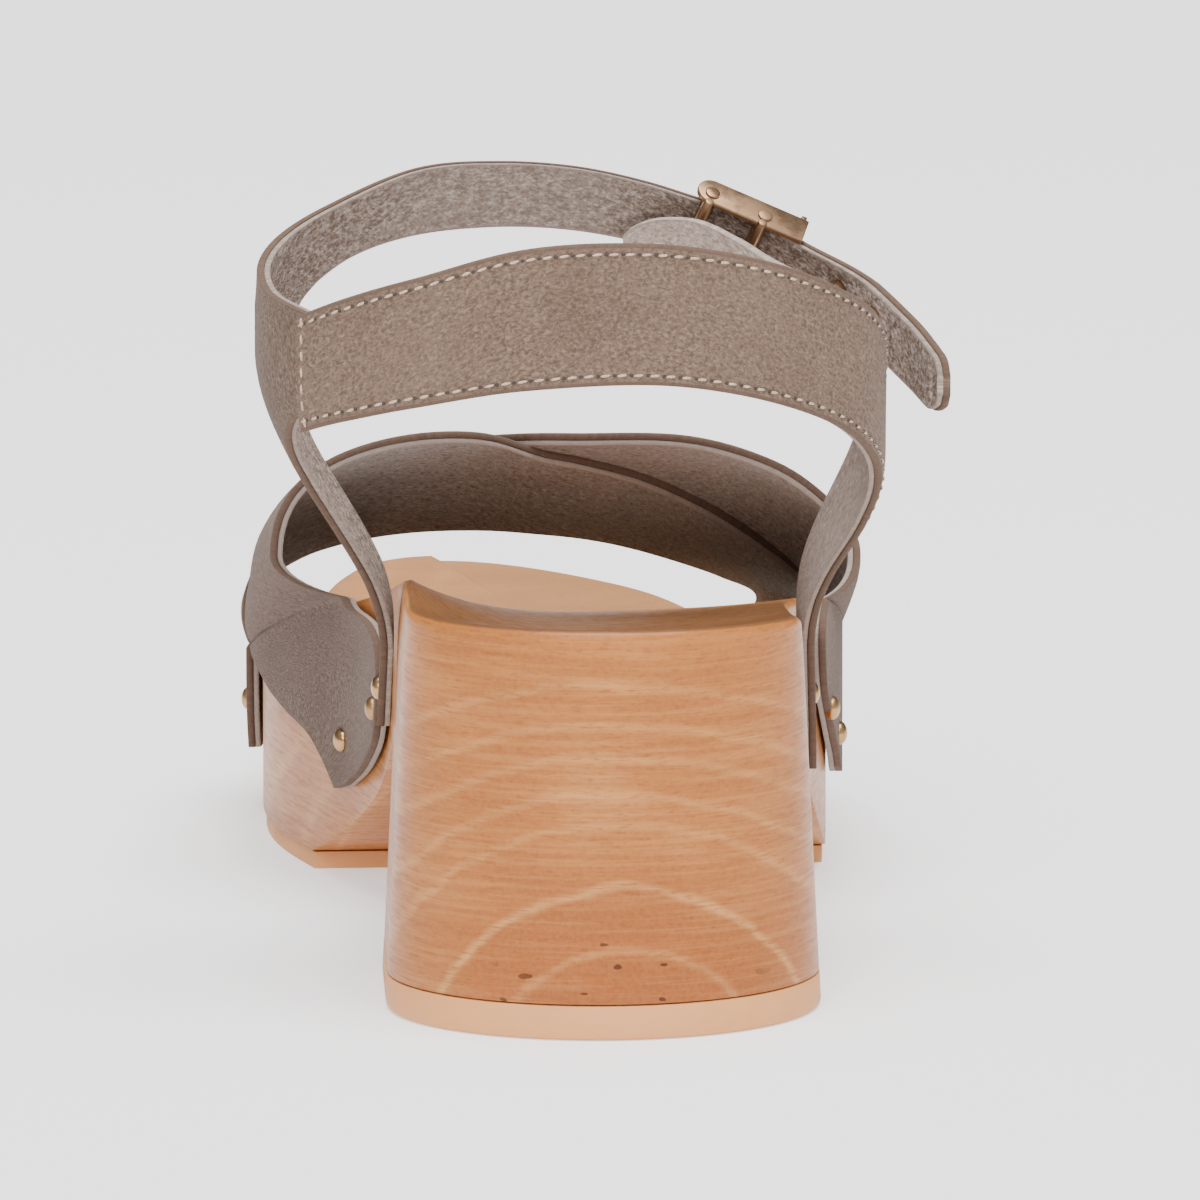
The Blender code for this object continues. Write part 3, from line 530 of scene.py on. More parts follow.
wooden_sole = sole_blank("carved_wooden_sole")
wooden_sole.data.materials.append(wood)
lifted = [(BEHIND, BELOW), (BEHIND, TIP_THICKNESS + JOINT_GAP), (BREAST, TIP_THICKNESS + JOINT_GAP)]
lifted += underside(OUTSOLE_THICKNESS + JOINT_GAP)[1:] + [(TOE_END, BELOW)]
carve(wooden_sole, slab("underside_cutter", lifted), "DIFFERENCE")
soften(wooden_sole, width=0.0005)
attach(wooden_sole, "root")
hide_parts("wooden_sole")

# Heel tip
# A slab of pale rubber is glued under the heel and trimmed flush with the wood.
# Its floor edge is worn round.
RUBBER = (0.675, 0.302, 0.112)
RUBBER_GRIME = (0.500, 0.205, 0.074)
TIP_EDGE_ROUND = 0.0012

tip_rubber, tree, shader = plain_material("beige_rubber", RUBBER, 0.55)
place = tree.nodes.new("ShaderNodeTexCoord").outputs["Object"]
grime = stretched_noise(tree, place, (60, 60, 140), 4, 0.6, 4.0)
fine = stretched_noise(tree, place, (1400, 1400, 1400), 2, 0.5, 8.0)
tone = mix_node(tree, step_range(tree, grime, 0.45, 0.8, 0.0, 0.35), RUBBER, RUBBER_GRIME)
tree.links.new(tone, shader.inputs["Base Color"])
tree.links.new(step_range(tree, grime, 0.3, 0.7, 0.48, 0.66), shader.inputs["Roughness"])
add_bump(tree, fine, 0.08, 0.0002)

heel_tip = sole_blank("rubber_heel_tip", 0.0, TIP_EDGE_ROUND)
heel_tip.data.materials.append(tip_rubber)
block = [(BEHIND, BELOW), (BREAST, BELOW), (BREAST, TIP_THICKNESS), (BEHIND, TIP_THICKNESS)]
carve(heel_tip, slab("heel_tip_block", block), "INTERSECT")
soften(heel_tip, width=0.0002)
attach(heel_tip, "root")
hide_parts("heel_tip")

# Forefoot outsole
# A thin rubber sheet is glued under the tread and the toe, cut a hair smaller
# than the wood.
OUTSOLE_INSET = 0.0006

tread_rubber = tip_rubber.copy()
tread_rubber.name = "tread_rubber"
outsole = sole_blank("rubber_forefoot_outsole", OUTSOLE_INSET)
outsole.data.materials.append(tread_rubber)
lower = [(TREAD_START, 0.0)] + [(y, z) for y, z in underside(0.0) if y >= TREAD_END]
strip = lower + [(y, z + OUTSOLE_THICKNESS) for y, z in reversed(lower)]
carve(outsole, slab("outsole_strip", strip), "INTERSECT")
soften(outsole, width=0.0004)
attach(outsole, "root")
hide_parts("forefoot_outsole")

# Front straps
# Two broad suede straps cross over the ball of the foot. Each is a suede outer
# glued to a thinner suede lining, cut raw at the edges, pulled over the last
# and nailed to the side of the sole.
STRAP_THICKNESS = 0.0023
LINING_THICKNESS = 0.0010
INSTEP_HEIGHT = 0.0805
WALL_DROP = 0.045
SEAT_OF_BULGE = 0.3
BULGE_SHARE = 0.12
INSTEP_TILT = 0.07
SQUARENESS = 0.78
CURVED_GAP = 0.0007
STEPS_ALONG = 10
STEPS_ACROSS = 18
CUT_EASE = 0.0006
CUT_EASE_SHARE = 0.42
CUT_TURNS = (-90, -62, -34, 0, 34, 62, 90)
BESIDE_CUT = (0.0008, 0.0014, 0.0022)
NARROW_END = 0.0045
RAW_REACH = 0.0011
HAND_WAVES = 55
HAND_WAVE_DEPTH = 0.00014
noise.seed_set(5)

Crossing = namedtuple("Crossing", "across rear front lift")
UNDER_STRAP = [Crossing(*row) for row in (
    (-0.74, 0.478, 0.498, 0.00),
    (-0.68, 0.424, 0.508, 0.00),
    (-0.60, 0.372, 0.522, 0.00),
    (-0.49, 0.353, 0.546, 0.00),
    (-0.38, 0.350, 0.585, 0.00),
    (-0.26, 0.366, 0.622, 0.00),
    (-0.14, 0.415, 0.655, 0.00),
    (-0.04, 0.470, 0.685, 0.00),
    (0.08, 0.478, 0.705, 0.00),
    (0.20, 0.463, 0.708, 0.00),
    (0.32, 0.457, 0.700, 0.00),
    (0.44, 0.463, 0.682, 0.00),
    (0.50, 0.527, 0.684, 0.00),
    (0.56, 0.571, 0.706, 0.00),
    (0.64, 0.626, 0.755, 0.00),
    (0.70, 0.664, 0.795, 0.00),
    (0.78, 0.706, 0.828, 0.00),
    (0.90, 0.742, 0.850, 0.00),
    (1.00, 0.757, 0.858, 0.00),
    (1.20, 0.757, 0.856, 0.00),
    (1.38, 0.775, 0.835, 0.00),
)]
OVER_STRAP = [Crossing(*row) for row in (
    (-0.62, 0.560, 0.586, 0.00),
    (-0.51, 0.500, 0.612, 0.00),
    (-0.36, 0.443, 0.640, 0.00),
    (-0.20, 0.427, 0.668, 0.00),
    (-0.08, 0.435, 0.695, 0.00),
    (0.02, 0.470, 0.722, 0.00),
    (0.12, 0.510, 0.745, 0.00),
    (0.20, 0.530, 0.752, 0.30),
    (0.27, 0.516, 0.742, 0.70),
    (0.34, 0.488, 0.728, 0.96),
    (0.42, 0.474, 0.712, 0.96),
    (0.50, 0.503, 0.695, 0.96),
    (0.57, 0.535, 0.700, 0.96),
    (0.65, 0.590, 0.730, 0.90),
    (0.74, 0.655, 0.770, 0.60),
    (0.84, 0.710, 0.812, 0.30),
    (0.94, 0.742, 0.846, 0.00),
    (1.00, 0.752, 0.856, 0.00),
    (1.24, 0.755, 0.856, 0.00),
    (1.43, 0.775, 0.835, 0.00),
)]


def bend(value):
    return abs(value) ** SQUARENESS * (1 if value > 0 else -1)


def over_foot(across, y, lift):
    """A point over the last, across 0 at the inner rim to 1 at the outer rim"""
    side = -1 if across < 0.5 else 1
    edge = half_width(y) + CURVED_GAP
    if across < 0 or across > 1:
        down = -across if across < 0 else across - 1
        z = rim(y, side) - down * WALL_DROP
        return Vector((middle(y) + side * (edge + flare(y, z) + lift), y, z))
    top = sole("instep", y) * INSTEP_HEIGHT
    foot_in, foot_out = -sole("foot_in", y) * BALL_WIDTH, sole("foot_out", y) * BALL_WIDTH
    if across < BULGE_SHARE or across > 1 - BULGE_SHARE:
        t = min(across, 1 - across) / BULGE_SHARE
        turn = radians(90) * t
        start, end = middle(y) + side * edge, foot_in if side < 0 else foot_out
        seat = SEAT_OF_BULGE * (top - rim(y, side))
        x = start + (end - start) * sin(turn) + side * lift * sin(turn / 2 + radians(45))
        return Vector((x, y, rim(y, side) + seat * (t + 1 - cos(turn)) / 2))
    turn = pi * (across - BULGE_SHARE) / (1 - 2 * BULGE_SHARE)
    side, swell = -bend(cos(turn)), bend(sin(turn))
    low = rim(y, side) + SEAT_OF_BULGE * (top - rim(y, side))
    x = (foot_in + foot_out) / 2 + side * (foot_out - foot_in) / 2
    z = low + (top - low) * swell - INSTEP_TILT * x * swell + sin(turn) * lift
    return Vector((x - cos(turn) * lift, y, z))


def front_spot(from_inner):
    """Places on a front strap, numbered from its nailed rear end"""
    def spot(row, share, lift):
        across, rear, front, raised = row
        if not from_inner:
            across = 1 - across
        return over_foot(across, at_share(rear + (front - rear) * share), raised * STRAP_THICKNESS + lift)
    return spot


def table_row(rows, at):
    places = range(len(rows))
    return [smooth(places, [getattr(entry, field) for entry in rows], at) for field in rows[0]._fields]


def strap_layer(name, rows, spot, low, high, inset, finish):
    """One layer of leather along a strap, closed all round, with its cut edges eased.
    The UV map is in metres, along the strap and in from its first edge, and the
    attribute edge is 1 on the cut edge and fades inwards"""
    work = bmesh.new()
    flat = work.loops.layers.uv.new("UVMap")
    edge_mark = work.verts.layers.float.new("edge")
    thick = high - low
    ease = min(thick * CUT_EASE_SHARE, CUT_EASE)
    near = []
    for degrees in CUT_TURNS:
        turn = radians(degrees)
        rise = thick / 2 * abs(sin(turn)) ** 0.7 * (1 if turn > 0 else -1)
        near.append((ease * (1 - cos(turn) ** 0.7), (low + high) / 2 + rise))
    count = (len(rows) - 1) * STEPS_ALONG
    rings, along, travelled, before = [], [], 0.0, None
    for step in range(count + 1):
        row = table_row(rows, (len(rows) - 1) * step / count)
        width = (spot(row, 1.0, high) - spot(row, 0.0, high)).length
        usable = width - 2 * inset
        squeeze = min(1.0, usable / NARROW_END)

        def put(distance, lift, mark=1.0):
            point = spot(row, (inset + distance) / width, lift)
            point += Vector(noise.noise_vector(point * HAND_WAVES)) * HAND_WAVE_DEPTH
            vert = work.verts.new(point)
            vert[edge_mark] = mark
            return vert, distance

        def put_inside(distance, lift):
            depth = min(distance, usable - distance) - ease
            return put(distance, lift, max(0.0, 1 - depth / RAW_REACH) * 0.6)

        beside = [d * squeeze for d in BESIDE_CUT]
        span = usable - 2 * BESIDE_CUT[-1] * squeeze
        inner = [beside[-1] + span * k / STEPS_ACROSS for k in range(1, STEPS_ACROSS)]
        places = beside + inner + [usable - d for d in reversed(beside)]
        ring = [put(d * squeeze, h) for d, h in near]
        ring += [put_inside(d, high) for d in places]
        ring += [put(usable - d * squeeze, h) for d, h in reversed(near)]
        ring += [put_inside(d, low) for d in reversed(places)]
        centre = spot(row, 0.5, high)
        travelled += (centre - before).length if before else 0.0
        before = centre
        rings.append(ring)
        along.append(travelled)
    size = len(rings[0])
    for k in range(len(rings) - 1):
        for n in range(size):
            m = (n + 1) % size
            corners = (rings[k][n], rings[k][m], rings[k + 1][m], rings[k + 1][n])
            face = work.faces.new([corner[0] for corner in corners])
            for loop, corner, u in zip(face.loops, corners, (along[k],) * 2 + (along[k + 1],) * 2):
                loop[flat].uv = (u, corner[1])
    for ring, u in ((rings[0], along[0]), (rings[-1], along[-1])):
        half = size // 2
        for k in range(half):
            quad = [ring[k], ring[k + 1], ring[size - 2 - k], ring[size - 1 - k]]
            if len({id(item[0]) for item in quad}) < 4:
                continue
            try:
                face = work.faces.new([item[0] for item in quad])
            except ValueError:
                continue
            for loop, item in zip(face.loops, quad):
                loop[flat].uv = (u, item[1])
    bmesh.ops.recalc_face_normals(work, faces=work.faces)
    piece = new_piece(name, work, finish)
    shade(piece, 60)
    return piece


def suede_group():
    """Napped leather. Fibres lie along the UV map's first axis"""
    group = bpy.data.node_groups.new("suede_nap", "ShaderNodeTree")
    face = group.interface
    for name, kind, value in (("Colour", "NodeSocketColor", (0.3, 0.2, 0.15, 1)),
                              ("Shade", "NodeSocketColor", (0.2, 0.13, 0.1, 1)),
                              ("Light", "NodeSocketColor", (0.4, 0.3, 0.25, 1)),
                              ("Edge Colour", "NodeSocketColor", (0.6, 0.5, 0.45, 1)),
                              ("Fibre", "NodeSocketFloat", 900.0),
                              ("Contrast", "NodeSocketFloat", 0.5),
                              ("Tufts", "NodeSocketFloat", 0.3),
                              ("Edge", "NodeSocketFloat", 1.0)):
        face.new_socket(name, in_out="INPUT", socket_type=kind).default_value = value
    for name, kind in (("Colour", "NodeSocketColor"), ("Roughness", "NodeSocketFloat"),
                       ("Height", "NodeSocketFloat")):
        face.new_socket(name, in_out="OUTPUT", socket_type=kind)
    into = group.nodes.new("NodeGroupInput")
    out = group.nodes.new("NodeGroupOutput")
    uv = group.nodes.new("ShaderNodeUVMap")
    uv.uv_map = "UVMap"
    where = group.nodes.new("ShaderNodeTexCoord").outputs["Object"]

    def fibres(stretch, detail, rough, seed):
        turn = set_inputs(group.nodes.new("ShaderNodeMapping"), Scale=stretch, Location=(seed, seed, 0))
        group.links.new(uv.outputs["UV"], turn.inputs["Vector"])
        made = set_inputs(group.nodes.new("ShaderNodeTexNoise"), Detail=detail, Roughness=rough,
                          Distortion=0.6)
        group.links.new(turn.outputs["Vector"], made.inputs["Vector"])
        group.links.new(into.outputs["Fibre"], made.inputs["Scale"])
        return made.outputs["Fac"]

    nap = fibres((0.75, 1.0, 1.0), 4, 0.66, 1.3)
    tuft = fibres((0.32, 0.40, 1.0), 3, 0.6, 6.1)
    curl = fibres((2.1, 2.6, 1.0), 2, 0.5, 3.7)
    mottle = stretched_noise(group, where, (70, 70, 70), 3, 0.55, 2.2)
    patch = stretched_noise(group, where, (19, 19, 19), 2, 0.5, 5.2)
    tufted = math_node(group, "MULTIPLY", math_node(group, "SUBTRACT", tuft, nap), into.outputs["Tufts"])
    rough_sum = math_node(group, "ADD", nap, tufted)
    dark = math_node(group, "MULTIPLY", step_range(group, rough_sum, 0.53, 0.36), into.outputs["Contrast"])
    pale = math_node(group, "MULTIPLY", step_range(group, rough_sum, 0.50, 0.66), into.outputs["Contrast"])
    tone = mix_node(group, dark, into.outputs["Colour"], into.outputs["Shade"])
    tone = mix_node(group, pale, tone, into.outputs["Light"])
    tone = mix_node(group, step_range(group, mottle, 0.45, 0.75, 0.0, 0.28), tone, into.outputs["Shade"])
    tone = mix_node(group, step_range(group, patch, 0.40, 0.70, 0.0, 0.22), tone, into.outputs["Light"])
    mark = group.nodes.new("ShaderNodeAttribute")
    mark.attribute_name = "edge"
    ragged = math_node(group, "ADD", mark.outputs["Fac"], step_range(group, nap, 0.3, 0.7, -0.22, 0.22))
    cut = math_node(group, "MULTIPLY", step_range(group, ragged, 0.45, 0.85), into.outputs["Edge"])
    tone = mix_node(group, cut, tone, into.outputs["Edge Colour"])
    group.links.new(tone, out.inputs["Colour"])
    group.links.new(step_range(group, nap, 0.3, 0.7, 0.98, 0.84), out.inputs["Roughness"])
    height = math_node(group, "ADD", math_node(group, "MULTIPLY", nap, 0.6),
                       math_node(group, "MULTIPLY", curl, 0.35))
    height = math_node(group, "ADD", height, math_node(group, "MULTIPLY", tuft, 0.7))
    group.links.new(height, out.inputs["Height"])
    return group


SUEDE = suede_group()


def suede(name, colour, shade_colour, light, edge_colour, fibre, contrast, edge, depth, strength, tufts=0.2):
    made, tree, shader = plain_material(name, colour, 0.9)
    nap = tree.nodes.new("ShaderNodeGroup")
    nap.node_tree = SUEDE
    set_inputs(nap, Colour=(*colour, 1), Shade=(*shade_colour, 1), Light=(*light, 1),
               Edge_Colour=(*edge_colour, 1), Fibre=fibre, Contrast=contrast, Tufts=tufts, Edge=edge)
    tree.links.new(nap.outputs["Colour"], shader.inputs["Base Color"])
    tree.links.new(nap.outputs["Roughness"], shader.inputs["Roughness"])
    add_bump(tree, nap.outputs["Height"], strength, depth)
    set_inputs(shader, Specular_IOR_Level=0.12, Sheen_Weight=0.08, Sheen_Roughness=0.5,
               Sheen_Tint=(0.95, 0.86, 0.80, 1))
    return made


OUTER_EDGE = (0.105, 0.066, 0.047)
RAW_EDGE = (0.30, 0.24, 0.205)
outer_suede = suede("front_strap_suede", (0.125, 0.084, 0.066), (0.073, 0.047, 0.036),
                    (0.200, 0.144, 0.118), OUTER_EDGE, 1700, 1.05, 0.8, 0.0004, 0.5)
lining_suede = suede("strap_lining_suede", (0.275, 0.268, 0.262), (0.140, 0.130, 0.122),
                     (0.440, 0.430, 0.420), RAW_EDGE, 1500, 1.05, 0.85, 0.0006, 0.7, 0.3)
LINING_INSET = 0.0003

for name, rows, from_inner in (("under_strap", UNDER_STRAP, True), ("over_strap", OVER_STRAP, False)):
    spot = front_spot(from_inner)
    outer = strap_layer(name + "_outer", rows, spot, LINING_THICKNESS, STRAP_THICKNESS, 0.0, outer_suede)
    lining = strap_layer(name + "_lining", rows, spot, 0.0, LINING_THICKNESS, LINING_INSET, lining_suede)
    for piece in (outer, lining):
        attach(piece, "root")
        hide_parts("front_straps")

# Heel band
# A wide suede band runs round the back of the heel and down the outer side to
# the sole. It is two layers, sewn together along both edges and across its
# inner end in pale waxed thread.
ANKLE_WIDTH = 0.1025
ANKLE_DEPTH = 0.0775
ANKLE_MIDDLE_X = -0.0047
ANKLE_MIDDLE_Y = 0.007
ANKLE_LEAN = 0.7
ANKLE_HEIGHT = 0.137
LEAN_FROM = 0.87
LEAN_MIDDLE = 0.92
TURN_NUDGE = 0.02
FLARE_START = 0.055
FLARE_END_INNER = 0.112
FLARE_END_OUTER = 0.094

Station = namedtuple("Station", "turn_a height_a turn_b height_b lift")
HEEL_BAND = [Station(*row) for row in (
    (-59, 0.892, -59, 0.746, 1.30),
    (-46, 0.924, -46, 0.770, 1.40),
    (-32, 0.955, -32, 0.793, 1.20),
    (-12, 0.993, -12, 0.816, 0.0),
    (10, 1.000, 10, 0.823, 0.0),
    (31, 0.977, 31, 0.801, 0.0),
    (54, 0.926, 54, 0.752, 0.0),
    (75, 0.868, 72, 0.694, 0.0),
    (95, 0.793, 84, 0.635, 0.0),
    (110, 0.701, 94, 0.577, 0.0),
    (121, 0.592, 104, 0.518, 0.0),
    (130, 0.482, 113, 0.453, 0.0),
    (136, 0.380, 119, 0.372, 0.0),
    (141, 0.240, 127, 0.240, 0.0),
)]


def edge_towards(turn, z):
    """Side of the sole seen from the middle of the ankle"""
    near, far = 0.0, SOLE_LENGTH / 2
    for _ in range(24):
        reach = (near + far) / 2
        x, y = reach * sin(turn), ANKLE_MIDDLE_Y - reach * cos(turn)
        if y > -HEEL_BEHIND and abs(x - middle(y)) < half_width(y) + flare(y, z) + CURVED_GAP:
            near = reach
        else:
            far = reach
    return Vector((near * sin(turn), ANKLE_MIDDLE_Y - near * cos(turn), z))


def ankle_form(turn, z):
    flare_end = (FLARE_END_INNER + FLARE_END_OUTER) / 2
    flare_end -= sin(turn) * (FLARE_END_INNER - FLARE_END_OUTER) / 2
    t = min(max((z - FLARE_START) / (flare_end - FLARE_START), 0), 1)
    blend = t * t * (3 - 2 * t)
    lean = ANKLE_LEAN * max(0, -cos(turn)) * (max(z, ANKLE_HEIGHT * LEAN_FROM) - ANKLE_HEIGHT * LEAN_MIDDLE)
    ring = Vector((ANKLE_MIDDLE_X + (ANKLE_WIDTH / 2 - lean) * sin(turn),
                   ANKLE_MIDDLE_Y - (ANKLE_DEPTH / 2 - lean) * cos(turn), z))
    return ring if blend >= 1 else edge_towards(turn, z).lerp(ring, blend)


def ankle_spot(row, share, lift):
    """Places on a strap round the ankle, lifted square to the form in plan"""
    turn_a, height_a, turn_b, height_b, raised = row
    turn = radians(turn_a + (turn_b - turn_a) * share)
    z = (height_a + (height_b - height_a) * share) * ANKLE_HEIGHT
    along = ankle_form(turn + TURN_NUDGE, z) - ankle_form(turn - TURN_NUDGE, z)
    outwards = Vector((along.y, -along.x, 0)).normalized()
    return ankle_form(turn, z) + outwards * (raised * STRAP_THICKNESS + lift)


band_suede = suede("heel_band_suede", (0.155, 0.104, 0.076), (0.092, 0.060, 0.042),
                   (0.236, 0.168, 0.127), OUTER_EDGE, 1700, 1.05, 0.8, 0.0004, 0.5)
band_lining = suede("heel_band_lining", (0.300, 0.235, 0.200), (0.180, 0.130, 0.105),
                    (0.480, 0.400, 0.350), RAW_EDGE, 1500, 0.95, 0.7, 0.0006, 0.7, 0.3)
heel_band = strap_layer("heel_band_outer", HEEL_BAND, ankle_spot, LINING_THICKNESS, STRAP_THICKNESS,
                        0.0, band_suede)
heel_lining = strap_layer("heel_band_lining", HEEL_BAND, ankle_spot, 0.0, LINING_THICKNESS,
                          LINING_INSET, band_lining)
for piece in (heel_band, heel_lining):
    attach(piece, "root")
    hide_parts("heel_band")

# Thread
# Waxed linen thread sews the heel band with a lockstitch of about nine stitches
# to the inch. Each stitch dips into its needle holes at both ends. The holes are
# not cut: dark beads laid between the stitches are painted shade that stands for them.
STITCH_PITCH = 0.0028
STITCH_LENGTH = 0.0018
THREAD_WIDTH = 0.00050
HOLE_WIDTH = 0.0008
SEAM_INSET = 0.0018
SEAM_LIFT = STRAP_THICKNESS + 0.00008
THREAD_LIE = 0.10
THREAD_PALE = (0.56, 0.42, 0.31)
THREAD_DARK = (0.34, 0.24, 0.17)
# Painted shade: the dark colour of the needle-hole beads stands for the shade inside the holes
HOLE_PAINTED_SHADE = (0.05, 0.034, 0.026)
FIRST_STITCH = 0.14
LAST_STITCH = 9.6
HALF_PITCH = 0.075
END_ROW_START = 0.075
END_ROW_SPAN = 0.85
ROW_STEPS = 160
END_ROW_STEPS = 20


def seam_path(name, points):
    """A line of points with the way out of the leather kept on each"""
    work = bmesh.new()
    out = work.verts.layers.float_vector.new("out")
    before = None
    for point, outwards in points:
        vert = work.verts.new(point)
        vert[out] = outwards
        if before:
            work.edges.new((before, vert))
        before = vert
    return new_piece(name, work)


def on_band(row, share, lift):
    """A place on the heel band, with the way out of the leather"""
    here = ankle_spot(row, share, lift)
    return here, (here - ankle_spot(row, share, 0.0)).normalized()


def edge_row(first, inset, lift):
    """Points along the heel band, in from its upper edge, or its lower one if negative"""
    points = []
    for k in range(ROW_STEPS + 1):
        row = table_row(HEEL_BAND, first + (LAST_STITCH - first) * k / ROW_STEPS)
        width = (ankle_spot(row, 1.0, lift) - ankle_spot(row, 0.0, lift)).length
        points.append(on_band(row, inset / width if inset > 0 else 1 + inset / width, lift))
    return points


def bead_tree(name, sizes, finish, segments, rings):
    """A tree that puts a bead on points, with named inputs for its sizes and finish,
    and reads the way out of the leather from the points"""
    tree = bpy.data.node_groups.new(name, "GeometryNodeTree")
    face = tree.interface
    face.new_socket("Geometry", in_out="INPUT", socket_type="NodeSocketGeometry")
    for key, value in sizes.items():
        face.new_socket(key, in_out="INPUT", socket_type="NodeSocketFloat").default_value = value
    face.new_socket(finish, in_out="INPUT", socket_type="NodeSocketMaterial")
    face.new_socket("Geometry", in_out="OUTPUT", socket_type="NodeSocketGeometry")
    into, out = tree.nodes.new("NodeGroupInput"), tree.nodes.new("NodeGroupOutput")
    bead = tree.nodes.new("GeometryNodeMeshUVSphere")
    set_inputs(bead, Segments=segments, Rings=rings, Radius=0.5)
    outwards = set_inputs(tree.nodes.new("GeometryNodeInputNamedAttribute"), Name="out")
    outwards.data_type = "FLOAT_VECTOR"
    stand = tree.nodes.new("FunctionNodeAlignRotationToVector")
    stand.axis = "Z"
    size = tree.nodes.new("ShaderNodeCombineXYZ")
    put = tree.nodes.new("GeometryNodeInstanceOnPoints")
    real = tree.nodes.new("GeometryNodeRealizeInstances")
    smooth_faces = tree.nodes.new("GeometryNodeSetShadeSmooth")
    cover = tree.nodes.new("GeometryNodeSetMaterial")
    link = tree.links.new
    link(bead.outputs["Mesh"], put.inputs["Instance"])
    link(outwards.outputs["Attribute"], stand.inputs["Vector"])
    link(into.outputs["Width"], size.inputs["Y"])
    link(size.outputs["Vector"], put.inputs["Scale"])
    link(put.outputs["Instances"], real.inputs["Geometry"])
    link(real.outputs["Geometry"], smooth_faces.inputs["Geometry"])
    link(smooth_faces.outputs["Geometry"], cover.inputs["Geometry"])
    link(into.outputs[finish], cover.inputs["Material"])
    link(cover.outputs["Geometry"], out.inputs["Geometry"])
    return tree, into, put, stand, size


def stitch_tree():
    """Stitches along a curve, at an even pitch, each turned to lie on the leather"""
    sizes = {"Pitch": STITCH_PITCH, "Length": STITCH_LENGTH, "Width": THREAD_WIDTH, "Lie": THREAD_LIE}
    tree, into, put, stand, size = bead_tree("sewn_row", sizes, "Thread", 8, 6)
    stand.pivot_axis = "X"
    curve = tree.nodes.new("GeometryNodeMeshToCurve")
    even = tree.nodes.new("GeometryNodeResampleCurve")
    even.mode = "LENGTH"
    along = tree.nodes.new("GeometryNodeInputTangent")
    lay = tree.nodes.new("FunctionNodeAlignRotationToVector")
    lay.axis = "X"
    skew = tree.nodes.new("FunctionNodeRotateRotation")
    skew.rotation_space = "LOCAL"
    lean = tree.nodes.new("ShaderNodeCombineXYZ")
    link = tree.links.new
    link(into.outputs["Geometry"], curve.inputs["Mesh"])
    link(curve.outputs["Curve"], even.inputs["Curve"])
    link(into.outputs["Pitch"], even.inputs["Length"])
    link(even.outputs["Curve"], put.inputs["Points"])
    link(along.outputs["Tangent"], lay.inputs["Vector"])
    link(lay.outputs["Rotation"], stand.inputs["Rotation"])
    link(stand.outputs["Rotation"], skew.inputs["Rotation"])
    link(into.outputs["Lie"], lean.inputs["Z"])
    link(lean.outputs["Vector"], skew.inputs["Rotate By"])
    link(skew.outputs["Rotation"], put.inputs["Rotation"])
    link(into.outputs["Length"], size.inputs["X"])
    link(into.outputs["Width"], size.inputs["Z"])
    return tree


SEWN_ROW = stitch_tree()


def run_tree(piece, tree, **values):
    """Run a node tree on the piece with named inputs, and keep the plain mesh"""
    tool = piece.modifiers.new("made", "NODES")
    tool.node_group = tree
    for item in tree.interface.items_tree:
        if item.item_type == "SOCKET" and item.in_out == "INPUT" and item.name in values:
            tool[item.identifier] = values[item.name]
    freeze(piece)


def sew(name, points, finish, length=STITCH_LENGTH, width=THREAD_WIDTH):
    piece = seam_path(name, points)
    run_tree(piece, SEWN_ROW, Pitch=STITCH_PITCH, Length=length, Width=width, Lie=THREAD_LIE, Thread=finish)
    return piece


thread, tree, shader = plain_material("waxed_thread", THREAD_PALE, 0.6)
place = tree.nodes.new("ShaderNodeTexCoord").outputs["Object"]
twist = stretched_noise(tree, place, (3000, 3000, 3000), 2, 0.5, 1.0)
tree.links.new(mix_node(tree, step_range(tree, twist, 0.35, 0.7), THREAD_PALE, THREAD_DARK),
               shader.inputs["Base Color"])
hole_shade, _, _ = plain_material("needle_hole_painted_shade", HOLE_PAINTED_SHADE, 0.95)

band_rows = [edge_row(FIRST_STITCH, inset, SEAM_LIFT) for inset in (SEAM_INSET, -SEAM_INSET)]
end_station = table_row(HEEL_BAND, FIRST_STITCH)
band_rows.append([on_band(end_station, END_ROW_START + END_ROW_SPAN * k / END_ROW_STEPS, SEAM_LIFT)
                  for k in range(END_ROW_STEPS + 1)])
for number, points in enumerate(band_rows, 1):
    seam = sew(f"heel_band_stitches_{number}", points, thread)
    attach(seam, "root")
# Painted shade: dark beads at half pitch between the stitches stand for the shaded needle holes
hole_rows = [edge_row(FIRST_STITCH + HALF_PITCH, inset, STRAP_THICKNESS)
             for inset in (SEAM_INSET, -SEAM_INSET)]
for number, points in enumerate(hole_rows, 1):
    holes = sew(f"heel_band_hole_shade_{number}", points, hole_shade, HOLE_WIDTH, HOLE_WIDTH * 0.8)
    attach(holes, "root")

